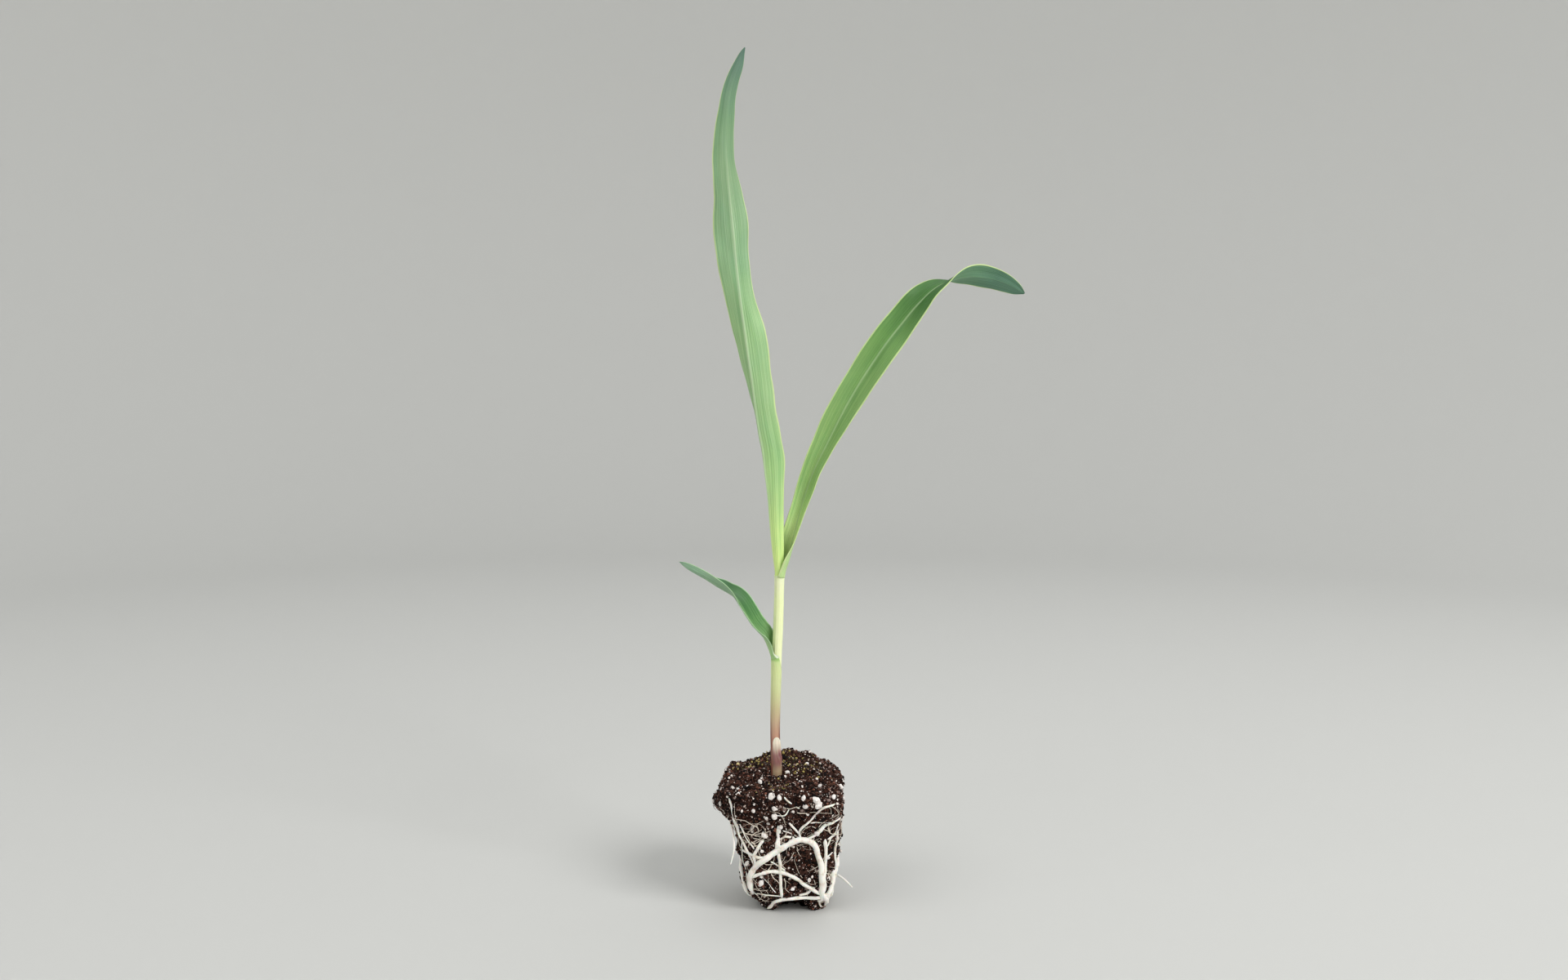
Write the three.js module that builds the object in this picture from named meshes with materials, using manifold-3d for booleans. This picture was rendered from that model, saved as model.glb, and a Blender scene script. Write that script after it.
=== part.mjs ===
// A young maize plant that stands on the square plug of compost and roots it was raised in.
// Millimetres, +Z up. The origin is on the plug's flat underside, below the middle of its top. +X is
// to the right of someone who faces the plant's front, which looks along -Y.

import * as THREE from 'three';
import { mergeVertices } from 'three/addons/utils/BufferGeometryUtils.js';
import Module from 'manifold-3d';

const wasm = await Module();
wasm.setup();

// Gap that neighbouring pieces keep.
const CLEARANCE = 0.3;

// The plug: sections of a rounded square, each with its height, half width and shift along X.
const PLUG_SECTIONS = [
  { z: 0, half: 9.6, shift: 3.2 },
  { z: 2, half: 11, shift: 2.6 },
  { z: 5, half: 13.2, shift: 1.6 },
  { z: 12.5, half: 14.8, shift: 1.4 },
  { z: 20, half: 15.7, shift: 1.2 },
  { z: 28, half: 16.9, shift: 0.8 },
  { z: 33, half: 18.2, shift: 0 },
  { z: 38.6, half: 18.5, shift: -0.7 },
];
const PLUG_TOP = 40.7;
const PLUG_CORNER_POWER = 5;
const PLUG_EDGE = 0.99;
const PLUG_SIDES = 40;
const PLUG_LUMP = { share: 0.018, grows: 12, most: 0.6 };
const PLUG_TOP_RINGS = [0.93, 0.8, 0.62, 0.42, 0.2];
const PLUG_TOP_RIPPLE = 0.6;
const PLUG_TOP_FALL = 1.8;
const PLUG_CORNER = 18.5;
const MOUNDS = [
  { x: -4, y: 14.5, height: 3.2, spread: 4.5 },
  { x: 3, y: 15, height: 2.8, spread: 4.5 },
  { x: 9, y: 14.5, height: 3.6, spread: 3.6 },
];
const CLUMP = { at: [-18.6, -2, 31.2], reach: [4.2, 6, 4.4] };
const NOTCH = { at: [2.6, -14.6, 0], reach: [6.6, 12, 5] };

// Roots on the front of the plug: each with its width and its route as (x, z) over the surface. On
// the other sides, x is measured along the side from the line above the origin.
const FRONT_ROOTS = [
  {
    width: 1.6,
    route: [
      [11.5, 4], [11.7, 12.8], [10.1, 22.3], [5.1, 24.5],
      [-3.4, 19.9], [-8.9, 15.5], [-9.3, 10], [-6.8, 4.4],
    ],
  },
  { width: 1.2, route: [[-9, 13], [-5.9, 14.8], [0.9, 13.8], [7.5, 10.6], [11.7, 6.5]] },
  { width: 1.0, route: [[-1.9, 29], [-0.7, 21.5], [0.2, 14], [0.7, 5.8]] },
  { width: 1.4, route: [[-6.8, 4.4], [-3.6, 4.2], [-0.3, 5.6], [5.2, 6.6], [11.6, 6]] },
  { width: 1.1, route: [[11.8, 24.7], [12.4, 19.9], [12.1, 12], [11.8, 6.8]] },
  { width: 0.7, route: [[5.1, 24.5], [4.6, 26.6], [8.3, 31], [12.4, 35.3], [15.1, 35.7]] },
  { width: 0.6, route: [[4.8, 26], [3.3, 28.2], [1.6, 30.2]] },
  { width: 0.8, route: [[6.3, 24.2], [9.7, 26.2], [13.5, 29.4], [16.7, 30.6]] },
  { width: 1.0, route: [[-6, 24.3], [-8.5, 20.6], [-8.9, 15.5]] },
  { width: 0.9, route: [[-12.9, 20.6], [-8.9, 19], [-5, 18.9]] },
  { width: 0.7, route: [[-17.1, 37], [-14.9, 31], [-12.3, 23.1], [-8.9, 15.5]] },
  { width: 2.2, route: [[11.6, 6], [13.1, 4.4], [13.2, 2.4]] },
];

// Roots on the other sides: an arch of a half span and height, with an upright and a cross root.
const SIDE_ROOTS = {
  right: { turn: Math.PI / 2, span: 8.8, top: 20, upright: -3.5, reach: 30, width: 1.3 },
  back: { turn: Math.PI, span: 9.2, top: 26, upright: 4, reach: 33, width: 1.5 },
  left: { turn: -Math.PI / 2, span: 8.5, top: 17, upright: 2.5, reach: 27, width: 1.2 },
};
const SIDE_FOOT = 4;
const LOOSE_ROOTS = {
  left: {
    width: 0.8,
    route: [[-16.9, -9, 29.5], [-15.6, -12.9, 26], [-15.1, -14.6, 21.3], [-16.1, -15.2, 16.6]],
  },
  right: {
    width: 0.7,
    route: [[16.7, -5.2, 9.4], [18, -5.9, 8.8], [19.6, -6.9, 7.8], [21.1, -8, 6.6]],
  },
};
const ROOT_SIDES = 6;
const ROOT_STEP = 3.2;
const ROOT_END = 0.6;

// The stem: stations up its axis, each with its radius. The lower sheath ends at the first collar,
// the upper one at the second.
const LOWER_SHEATH = [
  { at: [-2.5, 0, 35], radius: 1.4 },
  { at: [-2.7, 0, 46], radius: 1.45 },
  { at: [-2.8, 0, 54], radius: 1.45 },
  { at: [-2.6, 0, 66], radius: 1.5 },
  { at: [-2.35, 0, 76.4], radius: 1.65 },
];
const UPPER_SHEATH = [
  { at: [-2.3, 0, 76.7], radius: 1.58 },
  { at: [-1.85, 0, 85], radius: 1.55 },
  { at: [-1.55, 0, 95], radius: 1.5 },
  { at: [-1.4, 0, 102.3], radius: 1.53 },
];
const STEM_SIDES = 18;

// The upper sheath's spigot goes down into the lower one. The stem's foot stands in a socket in the
// compost, which is wide enough for the coleoptile above a height.
const SPIGOT = { radius: 0.9, length: 4 };
const SOCKET = { ease: 0.45, sleeveEase: 0.75, wideFrom: 38, top: 46 };

// The coleoptile: a split sleeve at the stem's foot, open between its two angles, round at the top.
const COLEOPTILE = { foot: 38.4, top: 51.7, wall: 0.5, from: -2.05, to: 0.95, rounding: 2.2 };
const COLEOPTILE_ARC = 10;

// Leaves: the midrib's stations on the leaf's back, from the collar to the tip. At each, left and
// right are the half widths as seen on the leaf's face, fold is how far the halves rise from flat, in
// degrees, and faces is the way that the face looks.
const FIRST_LEAF = {
  thickness: 0.8,
  steps: 24,
  stations: [
    { at: [-4.2, 0, 77], left: 1.2, right: 1.2, fold: 12, faces: [0.9, -0.35, 0.3] },
    { at: [-6.9, -0.3, 83.5], left: 3.5, right: 3.5, fold: 44, faces: [0.78, -0.44, 0.46] },
    { at: [-10.1, -0.9, 87.7], left: 4.5, right: 4.5, fold: 45, faces: [0.7, -0.6, 0.39] },
    { at: [-12.7, -1.5, 92.4], left: 4.7, right: 4.7, fold: 42, faces: [0.71, -0.62, 0.33] },
    { at: [-15.2, -2.1, 95.9], left: 4.4, right: 4.4, fold: 34, faces: [0.65, -0.45, 0.62] },
    { at: [-19.1, -2.9, 98.8], left: 3.8, right: 3.8, fold: 33, faces: [0.59, -0.22, 0.78] },
    { at: [-23.4, -3.7, 101.7], left: 3.2, right: 3.2, fold: 37, faces: [0.57, -0.02, 0.82] },
    { at: [-27.9, -4.5, 104.8], left: 2.5, right: 2.5, fold: 39, faces: [0.57, 0.05, 0.82] },
    { at: [-32, -5, 107.1], left: 1, right: 1, fold: 15, faces: [0.55, 0.15, 0.82] },
  ],
};
const SECOND_LEAF = {
  thickness: 1.4,
  steps: 44,
  stations: [
    { at: [0.3, 0.5, 102.65], left: 1.5, right: 1.4, fold: 8, faces: [-0.9, -0.4, 0] },
    { at: [1.35, 1, 108.5], left: 2.1, right: 2, fold: 20, faces: [-0.82, -0.57, 0] },
    { at: [2.8, 0.9, 117], left: 2.2, right: 2.1, fold: 22, faces: [-0.3, -0.95, 0] },
    { at: [7.3, 0.8, 129.6], left: 3.9, right: 4.4, fold: 42, faces: [-0.32, -0.94, 0.12] },
    { at: [12.5, 0, 141.5], left: 5, right: 4.2, fold: 38, faces: [-0.27, -0.94, 0.15] },
    { at: [20.9, -0.9, 158], left: 5.4, right: 6, fold: 35, faces: [-0.22, -0.95, 0.18] },
    { at: [29.1, -1.9, 170.9], left: 5.6, right: 6.4, fold: 32, faces: [-0.2, -0.95, 0.2] },
    { at: [35.2, -2.2, 179], left: 5.4, right: 5.8, fold: 28, faces: [-0.19, -0.94, 0.26] },
    { at: [40.6, -2.2, 185.5], left: 5.1, right: 5, fold: 24, faces: [-0.22, -0.86, 0.42] },
    { at: [45.4, -1.3, 189.6], left: 4.8, right: 4.5, fold: 18, faces: [-0.3, -0.55, 0.78] },
    { at: [50.2, 0.5, 192.3], left: 4.4, right: 4.4, fold: 14, faces: [-0.15, -0.02, 1] },
    { at: [56.4, 3.3, 193.9], left: 4.2, right: 4.2, fold: 12, faces: [0, 0.62, 0.79] },
    { at: [64.4, 7.8, 193.8], left: 3.9, right: 3.7, fold: 10, faces: [0, 0.88, 0.5] },
    { at: [71.2, 12.8, 192.4], left: 3, right: 2.5, fold: 8, faces: [0, 0.9, 0.45] },
    { at: [76.6, 17.6, 190.4], left: 0.6, right: 0.6, fold: 8, faces: [0, 0.9, 0.5] },
  ],
};
const THIRD_LEAF = {
  thickness: 1.6,
  steps: 48,
  stations: [
    { at: [-3.1, 0, 102.65], left: 1.3, right: 1.3, fold: 4, faces: [1, 0, 0] },
    { at: [-4.4, -0.5, 116], left: 2.6, right: 2.4, fold: 33, faces: [0.97, 0.26, 0] },
    { at: [-5.3, -1, 128], left: 3.9, right: 3.5, fold: 33, faces: [0.88, 0.47, 0] },
    { at: [-6.9, -1.5, 140.2], left: 5.6, right: 4.4, fold: 32, faces: [0.79, 0.62, 0] },
    { at: [-9.2, -3.2, 157], left: 5.4, right: 4.5, fold: 28, faces: [0.7, 0.7, 0] },
    { at: [-11.7, -5, 175.8], left: 6, right: 4.6, fold: 24, faces: [0.24, 0.97, 0] },
    { at: [-13.4, -6.8, 190], left: 4.7, right: 4.4, fold: 24, faces: [-0.15, 0.99, 0] },
    { at: [-15.5, -9, 210.6], left: 5.2, right: 5.3, fold: 20, faces: [-0.26, 0.97, 0] },
    { at: [-17.2, -11.2, 230], left: 3.8, right: 3.5, fold: 18, faces: [-0.5, 0.87, 0] },
    { at: [-16.2, -12.4, 244.5], left: 2.6, right: 2.4, fold: 15, faces: [-0.5, 0.87, 0] },
    { at: [-12.6, -13, 257], left: 0.6, right: 0.6, fold: 10, faces: [-0.4, 0.9, 0] },
  ],
};
const BLADE_ACROSS = [-1, -0.5, 0, 0.5, 1];
const ELLIPSOID_SIDES = 16;
const ELLIPSOID_RINGS = 10;

const SOIL = new THREE.MeshStandardMaterial({ color: 0x33261d, roughness: 0.95, metalness: 0 });
const ROOT = new THREE.MeshStandardMaterial({ color: 0xd8d0bd, roughness: 0.6, metalness: 0 });
const HUSK = new THREE.MeshStandardMaterial({ color: 0xb08a7c, roughness: 0.6, metalness: 0 });
const LOWER_STEM = new THREE.MeshStandardMaterial({ color: 0xbfc694, roughness: 0.45, metalness: 0 });
const UPPER_STEM = new THREE.MeshStandardMaterial({ color: 0xd9e6b2, roughness: 0.45, metalness: 0 });
const OLD_LEAF = new THREE.MeshStandardMaterial({ color: 0x6f9a6a, roughness: 0.5, metalness: 0 });
const YOUNG_LEAF = new THREE.MeshStandardMaterial({ color: 0x8cb36e, roughness: 0.5, metalness: 0 });

// A closed surface through rings with equal counts of points, fanned shut at both ends.
function loft(rings) {
  const count = rings[0].length;
  const ends = [rings[0], rings[rings.length - 1]].map(middle);
  const points = [...rings.flat(), ...ends];
  const first = rings.length * count;
  const faces = [];
  for (let i = 0; i < rings.length - 1; i += 1) {
    for (let j = 0; j < count; j += 1) {
      const a = i * count + j;
      const b = i * count + (j + 1) % count;
      faces.push([a, b, b + count], [a, b + count, a + count]);
    }
  }
  for (let j = 0; j < count; j += 1) {
    const next = (j + 1) % count;
    const last = first - count;
    faces.push([first, next, j], [first + 1, last + j, last + next]);
  }
  const volume = faces.reduce((sum, [a, b, c]) => (
    sum + points[a].dot(points[b].clone().cross(points[c]))
  ), 0);
  const outward = volume > 0 ? faces : faces.map(([a, b, c]) => [a, c, b]);
  return new THREE.BufferGeometry().setFromPoints(points).setIndex(outward.flat());
}

// The mean of a ring's points.
function middle(ring) {
  const sum = ring.reduce((total, point) => total.add(point), new THREE.Vector3());
  return sum.divideScalar(ring.length);
}

// A geometry as a solid that can be joined and cut.
function solidOf(geometry) {
  const bare = geometry.clone();
  bare.deleteAttribute('normal');
  bare.deleteAttribute('uv');
  const merged = mergeVertices(bare, 1e-5);
  return new wasm.Manifold(new wasm.Mesh({
    numProp: 3,
    vertProperties: new Float32Array(merged.attributes.position.array),
    triVerts: new Uint32Array(merged.index.array),
  }));
}

// The largest body of a solid, as a named mesh.
function meshOf(name, solid, material) {
  const bodies = solid.decompose();
  const whole = bodies.reduce((best, body) => (body.volume() > best.volume() ? body : best));
  const { vertProperties, triVerts } = whole.getMesh();
  const geometry = new THREE.BufferGeometry();
  geometry.setAttribute('position', new THREE.BufferAttribute(vertProperties, 3));
  geometry.setIndex(new THREE.BufferAttribute(triVerts, 1));
  geometry.computeVertexNormals();
  const mesh = new THREE.Mesh(geometry, material);
  mesh.name = name;
  return mesh;
}

// Solids joined into one.
function join(solids) {
  return solids.reduce((whole, solid) => whole.add(solid));
}

// An ellipsoid at a place, with its reach along each axis.
function ellipsoid({ at, reach }) {
  const geometry = new THREE.SphereGeometry(1, ELLIPSOID_SIDES, ELLIPSOID_RINGS);
  geometry.scale(...reach);
  geometry.translate(...at);
  return solidOf(geometry);
}

// A straight round bar up Z.
function bar(x, y, bottom, top, radius) {
  const geometry = new THREE.CylinderGeometry(radius, radius, top - bottom, STEM_SIDES);
  geometry.rotateX(Math.PI / 2);
  geometry.translate(x, y, (bottom + top) / 2);
  return solidOf(geometry);
}

// The plug's half width and shift at a height, between its sections.
function plugAt(z) {
  const above = PLUG_SECTIONS.findIndex((section) => section.z >= z);
  const high = PLUG_SECTIONS[above < 0 ? PLUG_SECTIONS.length - 1 : Math.max(above, 1)];
  const low = PLUG_SECTIONS[PLUG_SECTIONS.indexOf(high) - 1];
  const part = THREE.MathUtils.clamp((z - low.z) / (high.z - low.z), 0, 1);
  return {
    half: THREE.MathUtils.lerp(low.half, high.half, part),
    shift: THREE.MathUtils.lerp(low.shift, high.shift, part),
  };
}

// A point on the side of the plug: along is measured across the side from the line above the
// origin, turn is the side's turn from the front about Z.
function onPlug(turn, along, z) {
  const { half, shift } = plugAt(z);
  const beside = along - shift * Math.cos(turn);
  const across = Math.min(Math.abs(beside) / half, PLUG_EDGE);
  const out = half * (1 - across ** PLUG_CORNER_POWER) ** (1 / PLUG_CORNER_POWER);
  const point = new THREE.Vector3(beside, -out, z);
  point.applyAxisAngle(new THREE.Vector3(0, 0, 1), turn);
  point.x += shift;
  return point;
}

// One ring of the plug: a rounded square of a half width, lumpy except on the underside.
function plugRing({ z, half, shift }, scale, height) {
  const ring = [];
  for (let j = 0; j < PLUG_SIDES; j += 1) {
    const angle = (j / PLUG_SIDES) * 2 * Math.PI;
    const square = (Math.abs(Math.cos(angle)) ** PLUG_CORNER_POWER
      + Math.abs(Math.sin(angle)) ** PLUG_CORNER_POWER) ** (-1 / PLUG_CORNER_POWER);
    const lump = Math.sin(5 * angle + 0.4 * z) + Math.sin(9 * angle - 0.7 * z + 1);
    const rough = PLUG_LUMP.share * Math.min(z / PLUG_LUMP.grows, PLUG_LUMP.most);
    const radius = half * scale * square * (1 + lump * rough);
    const x = shift + radius * Math.cos(angle);
    const y = radius * Math.sin(angle);
    ring.push(new THREE.Vector3(x, y, height(x, y)));
  }
  return ring;
}

// The height of the plug's top: rippled, lower towards its corners, with mounds along its back.
function topHeight(x, y) {
  const corner = PLUG_TOP_FALL * Math.abs((x * y) / PLUG_CORNER ** 2);
  const ripple = PLUG_TOP_RIPPLE * Math.sin(0.55 * x + 0.8) * Math.cos(0.5 * y + 0.4) - corner;
  const mounds = MOUNDS.map(({ x: atX, y: atY, height, spread }) => (
    height * Math.exp(-((x - atX) ** 2 + (y - atY) ** 2) / spread ** 2)
  ));
  return PLUG_TOP + ripple + mounds.reduce((sum, height) => sum + height);
}

// The compost: the lumpy plug, a clump that hangs at its left, the notch in its front foot, the
// socket that the stem stands in, and a groove for every root that lies on it.
function rootBall(grooves) {
  const rim = PLUG_SECTIONS[PLUG_SECTIONS.length - 1];
  const sides = PLUG_SECTIONS.map((section) => plugRing(section, 1, () => section.z));
  const top = PLUG_TOP_RINGS.map((scale) => plugRing(rim, scale, topHeight));
  const foot = LOWER_SHEATH[0];
  const [x, y, bottom] = foot.at;
  const narrow = bar(x, y, bottom - CLEARANCE, SOCKET.top, foot.radius + SOCKET.ease);
  const sleeve = foot.radius + COLEOPTILE.wall + SOCKET.sleeveEase;
  const wide = bar(x, y, SOCKET.wideFrom, SOCKET.top, sleeve);
  return solidOf(loft([...sides, ...top]))
    .add(ellipsoid(CLUMP))
    .subtract(ellipsoid(NOTCH))
    .subtract(narrow)
    .subtract(wide)
    .subtract(join(grooves));
}

// A round root along a smooth route, drawn in towards both ends, with grow added to its radius.
function rootAlong(points, width, grow) {
  const curve = new THREE.CatmullRomCurve3(points);
  const steps = Math.max(3, Math.ceil(curve.getLength() / ROOT_STEP));
  const { normals, binormals } = curve.computeFrenetFrames(steps, false);
  const rings = normals.map((normal, i) => {
    const centre = curve.getPointAt(i / steps);
    const end = i === 0 || i === steps ? ROOT_END : 1;
    const radius = (width / 2) * end + grow;
    return Array.from({ length: ROOT_SIDES }, (_, j) => {
      const angle = (j / ROOT_SIDES) * 2 * Math.PI;
      return centre.clone()
        .addScaledVector(normal, radius * Math.cos(angle))
        .addScaledVector(binormals[i], radius * Math.sin(angle));
    });
  });
  return solidOf(loft(rings));
}

// The roots of one side of the plug, joined where they cross.
function rootNet(turn, roots, grow) {
  return join(roots.map(({ width, route }) => (
    rootAlong(route.map(([along, z]) => onPlug(turn, along, z)), width, grow)
  )));
}

// The roots of a plain side, worked out from its arch: the arch, a foot root that ties its two
// ends, an upright that runs on above it, and a root that crosses it.
function sideRoots({ span, top, upright, reach, width }) {
  const foot = SIDE_FOOT;
  const arch = [
    [-span, foot], [-span - 0.6, 0.55 * top], [-0.6 * span, 0.9 * top],
    [0.2 * span, top], [0.9 * span, 0.75 * top], [span, foot],
  ];
  return [
    { width, route: arch },
    { width: 0.9 * width, route: [[-span, foot], [0, foot + 1.4], [span, foot]] },
    {
      width: 0.7 * width,
      route: [[upright, foot + 1.2], [upright + 1, 0.6 * top], [upright - 1, reach]],
    },
    {
      width: 0.75 * width,
      route: [[-span - 0.2, 0.4 * top], [0, 0.55 * top], [span, 0.3 * top]],
    },
  ];
}

// A length of stem through its stations.
function stemSolid(stations, grow = 0) {
  const rings = stations.map(({ at: [x, y, z], radius }) => (
    Array.from({ length: STEM_SIDES }, (_, j) => {
      const angle = (j / STEM_SIDES) * 2 * Math.PI;
      const out = radius + grow;
      return new THREE.Vector3(x + out * Math.cos(angle), y + out * Math.sin(angle), z);
    })
  ));
  return solidOf(loft(rings));
}

// The split sleeve round the stem's foot. It closes in from its free edge towards its round top.
function coleoptile() {
  const { foot, top, wall, from, to, rounding } = COLEOPTILE;
  const [, low, high] = LOWER_SHEATH;
  const inner = low.radius + CLEARANCE;
  const heights = [foot, foot + 4, foot + 8, top - rounding, top - 0.6 * rounding, top - 0.2 * rounding];
  const rings = heights.map((z) => {
    const part = (z - low.at[2]) / (high.at[2] - low.at[2]);
    const x = THREE.MathUtils.lerp(low.at[0], high.at[0], part);
    const left = Math.max(0, (z - (top - rounding)) / rounding);
    const draw = Math.sqrt(1 - left ** 2);
    const centre = (from + to) / 2;
    const reach = ((to - from) / 2) * draw;
    const arc = Array.from({ length: COLEOPTILE_ARC }, (_, j) => (
      centre - reach + (j / (COLEOPTILE_ARC - 1)) * 2 * reach
    ));
    const edge = (radius) => (angle) => (
      new THREE.Vector3(x + radius * Math.cos(angle), radius * Math.sin(angle), z)
    );
    return [...arc.map(edge(inner + wall)), ...arc.reverse().map(edge(inner))];
  });
  return solidOf(loft(rings));
}

// A leaf blade: a folded strip through its stations, with grow added all round it.
function bladeSolid({ stations, thickness, steps }, grow = 0) {
  const path = new THREE.CatmullRomCurve3(stations.map(({ at }) => new THREE.Vector3(...at)));
  const shape = new THREE.CatmullRomCurve3(stations.map(({ left, right, fold }) => (
    new THREE.Vector3(left, right, THREE.MathUtils.degToRad(fold))
  )));
  const facing = new THREE.CatmullRomCurve3(stations.map(({ faces }) => new THREE.Vector3(...faces)));
  const rings = Array.from({ length: steps + 1 }, (_, i) => {
    const t = i / steps;
    const tangent = path.getTangent(t);
    const face = facing.getPoint(t);
    face.addScaledVector(tangent, -face.dot(tangent)).normalize();
    const side = tangent.clone().cross(face);
    const { x: left, y: right, z: fold } = shape.getPoint(t);
    const surface = (depth) => (across) => {
      const half = (across < 0 ? left : right) + grow;
      return path.getPoint(t)
        .addScaledVector(side, across * half * Math.cos(fold))
        .addScaledVector(face, Math.abs(across) * half * Math.sin(fold) + depth / Math.cos(fold));
    };
    const back = BLADE_ACROSS.map(surface(-grow));
    const front = BLADE_ACROSS.map(surface(thickness + grow)).reverse();
    return [...back, ...front];
  });
  return solidOf(loft(rings));
}

const collar = LOWER_SHEATH[LOWER_SHEATH.length - 1].at[2];
const spigotFoot = collar - SPIGOT.length;
const [spigotX, spigotY, spigotTop] = UPPER_SHEATH[0].at;
const spigotBore = bar(spigotX, spigotY, spigotFoot - CLEARANCE, spigotTop + 1, SPIGOT.radius + CLEARANCE);
const lowerSheath = stemSolid(LOWER_SHEATH).subtract(spigotBore);
const upperSheath = stemSolid(UPPER_SHEATH)
  .add(bar(spigotX, spigotY, spigotFoot, spigotTop + 1, SPIGOT.radius));

// A grown copy of a stem or leaf that is cut away from its neighbour keeps the two clear.
const nearStem = stemSolid(LOWER_SHEATH, CLEARANCE).add(stemSolid(UPPER_SHEATH, CLEARANCE));
const firstLeaf = bladeSolid(FIRST_LEAF).subtract(nearStem);
const secondLeaf = bladeSolid(SECOND_LEAF).subtract(bladeSolid(THIRD_LEAF, CLEARANCE));

const plugRoots = [
  { name: 'front_roots', turn: 0, roots: FRONT_ROOTS },
  ...Object.entries(SIDE_ROOTS).map(([side, net]) => (
    { name: `${side}_roots`, turn: net.turn, roots: sideRoots(net) }
  )),
];
const looseRoots = Object.entries(LOOSE_ROOTS).map(([side, { width, route }]) => (
  { name: `loose_root_${side}`, width, points: route.map((point) => new THREE.Vector3(...point)) }
));
const grooves = [
  ...plugRoots.map(({ turn, roots }) => rootNet(turn, roots, CLEARANCE)),
  ...looseRoots.map(({ width, points }) => rootAlong(points, width, CLEARANCE)),
];

const plant = new THREE.Group();
plant.add(meshOf('root_ball', rootBall(grooves), SOIL));
plugRoots.forEach(({ name, turn, roots }) => plant.add(meshOf(name, rootNet(turn, roots, 0), ROOT)));
looseRoots.forEach(({ name, width, points }) => {
  plant.add(meshOf(name, rootAlong(points, width, 0), ROOT));
});
plant.add(meshOf('coleoptile', coleoptile(), HUSK));
plant.add(meshOf('lower_sheath', lowerSheath, LOWER_STEM));
plant.add(meshOf('upper_sheath', upperSheath, UPPER_STEM));
plant.add(meshOf('first_leaf', firstLeaf, OLD_LEAF));
plant.add(meshOf('second_leaf', secondLeaf, YOUNG_LEAF));
plant.add(meshOf('third_leaf', bladeSolid(THIRD_LEAF), YOUNG_LEAF));

export default plant;
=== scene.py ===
"""A young maize plant on its root ball: three strap leaves on a sheathed stem that stands in a square
plug of peat laced with white roots. Lengths are written in millimetres and made metres by MM."""

import math

import bpy
import numpy as np
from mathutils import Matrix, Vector


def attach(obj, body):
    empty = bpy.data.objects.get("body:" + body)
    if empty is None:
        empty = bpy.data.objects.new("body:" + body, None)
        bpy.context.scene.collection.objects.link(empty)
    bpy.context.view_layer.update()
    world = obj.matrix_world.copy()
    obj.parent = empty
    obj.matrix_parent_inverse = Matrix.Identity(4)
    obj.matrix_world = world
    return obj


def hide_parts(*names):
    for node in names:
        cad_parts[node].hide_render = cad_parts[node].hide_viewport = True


MM = 0.001
UP = np.array([0.0, 0.0, 1.0])
# A smooth random field is the sum of this many waves, whose rates spread over these shares.
FIELD_WAVES = 28
FIELD_SPREAD = (0.6, 1.5)

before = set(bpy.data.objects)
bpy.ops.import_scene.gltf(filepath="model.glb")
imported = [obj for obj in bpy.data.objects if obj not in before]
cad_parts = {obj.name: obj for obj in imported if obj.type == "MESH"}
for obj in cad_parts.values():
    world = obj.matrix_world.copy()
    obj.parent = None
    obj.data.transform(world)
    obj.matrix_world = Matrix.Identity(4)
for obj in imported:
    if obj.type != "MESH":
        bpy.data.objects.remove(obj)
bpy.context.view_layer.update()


# Shared tools

def spline(knots, values, at):
    """Smooth values between knots: cubic pieces that pass through each value, with the slope there
    that the values on both sides give."""
    knots, values = np.asarray(knots, float), np.asarray(values, float)
    slopes = np.gradient(values, knots, axis=0)
    i = np.clip(np.searchsorted(knots, at, side="right") - 1, 0, len(knots) - 2)
    span = knots[i + 1] - knots[i]
    u = (at - knots[i]) / span
    shape = (-1,) + (1,) * (values.ndim - 1)
    u, span = u.reshape(shape), span.reshape(shape)
    start = (1 + 2 * u) * (1 - u) ** 2 * values[i] + u * (1 - u) ** 2 * span * slopes[i]
    end = u ** 2 * (3 - 2 * u) * values[i + 1] + u ** 2 * (u - 1) * span * slopes[i + 1]
    return start + end


def lengths(points):
    """The distance along a line of points, from 0 at the first to 1 at the last."""
    steps = np.linalg.norm(np.diff(points, axis=0), axis=1)
    total = np.concatenate([[0], np.cumsum(steps)])
    return total / total[-1]


def stations(table, count):
    """A table of stations carried along its line on splines: even shares of the line's length, and
    the table's values there. Its first columns, up to three, are places."""
    table = np.array(table, float)
    share = np.linspace(0, 1, count)
    return share, spline(lengths(table[:, :3]), table, share)


def unit(vectors):
    """Vectors scaled to length one."""
    return vectors / np.maximum(np.linalg.norm(vectors, axis=-1, keepdims=True), 1e-12)


def field(points, size, seed):
    """A smooth random value at each point: the sum of cosines that run in random directions, each
    with a wavelength near size, scaled to lie mostly between -1 and 1."""
    rng = np.random.default_rng(seed)
    ways = unit(rng.normal(size=(FIELD_WAVES, 3))) * (2 * np.pi / size)
    ways = ways * rng.uniform(*FIELD_SPREAD, (FIELD_WAVES, 1))
    phases = rng.uniform(0, 2 * np.pi, FIELD_WAVES)
    return np.cos(points @ ways.T + phases).sum(-1) / math.sqrt(FIELD_WAVES)


def bump(x, centre, reach):
    """A rounded hump of height one: the exponential of minus the squared distance over reach."""
    return np.exp(-(((x - centre) / reach) ** 2))


def step(x, zero, one):
    """A smooth change from zero to one between the two places named, and level outside them."""
    t = np.clip((x - zero) / (one - zero), 0, 1)
    return t * t * (3 - 2 * t)


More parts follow.
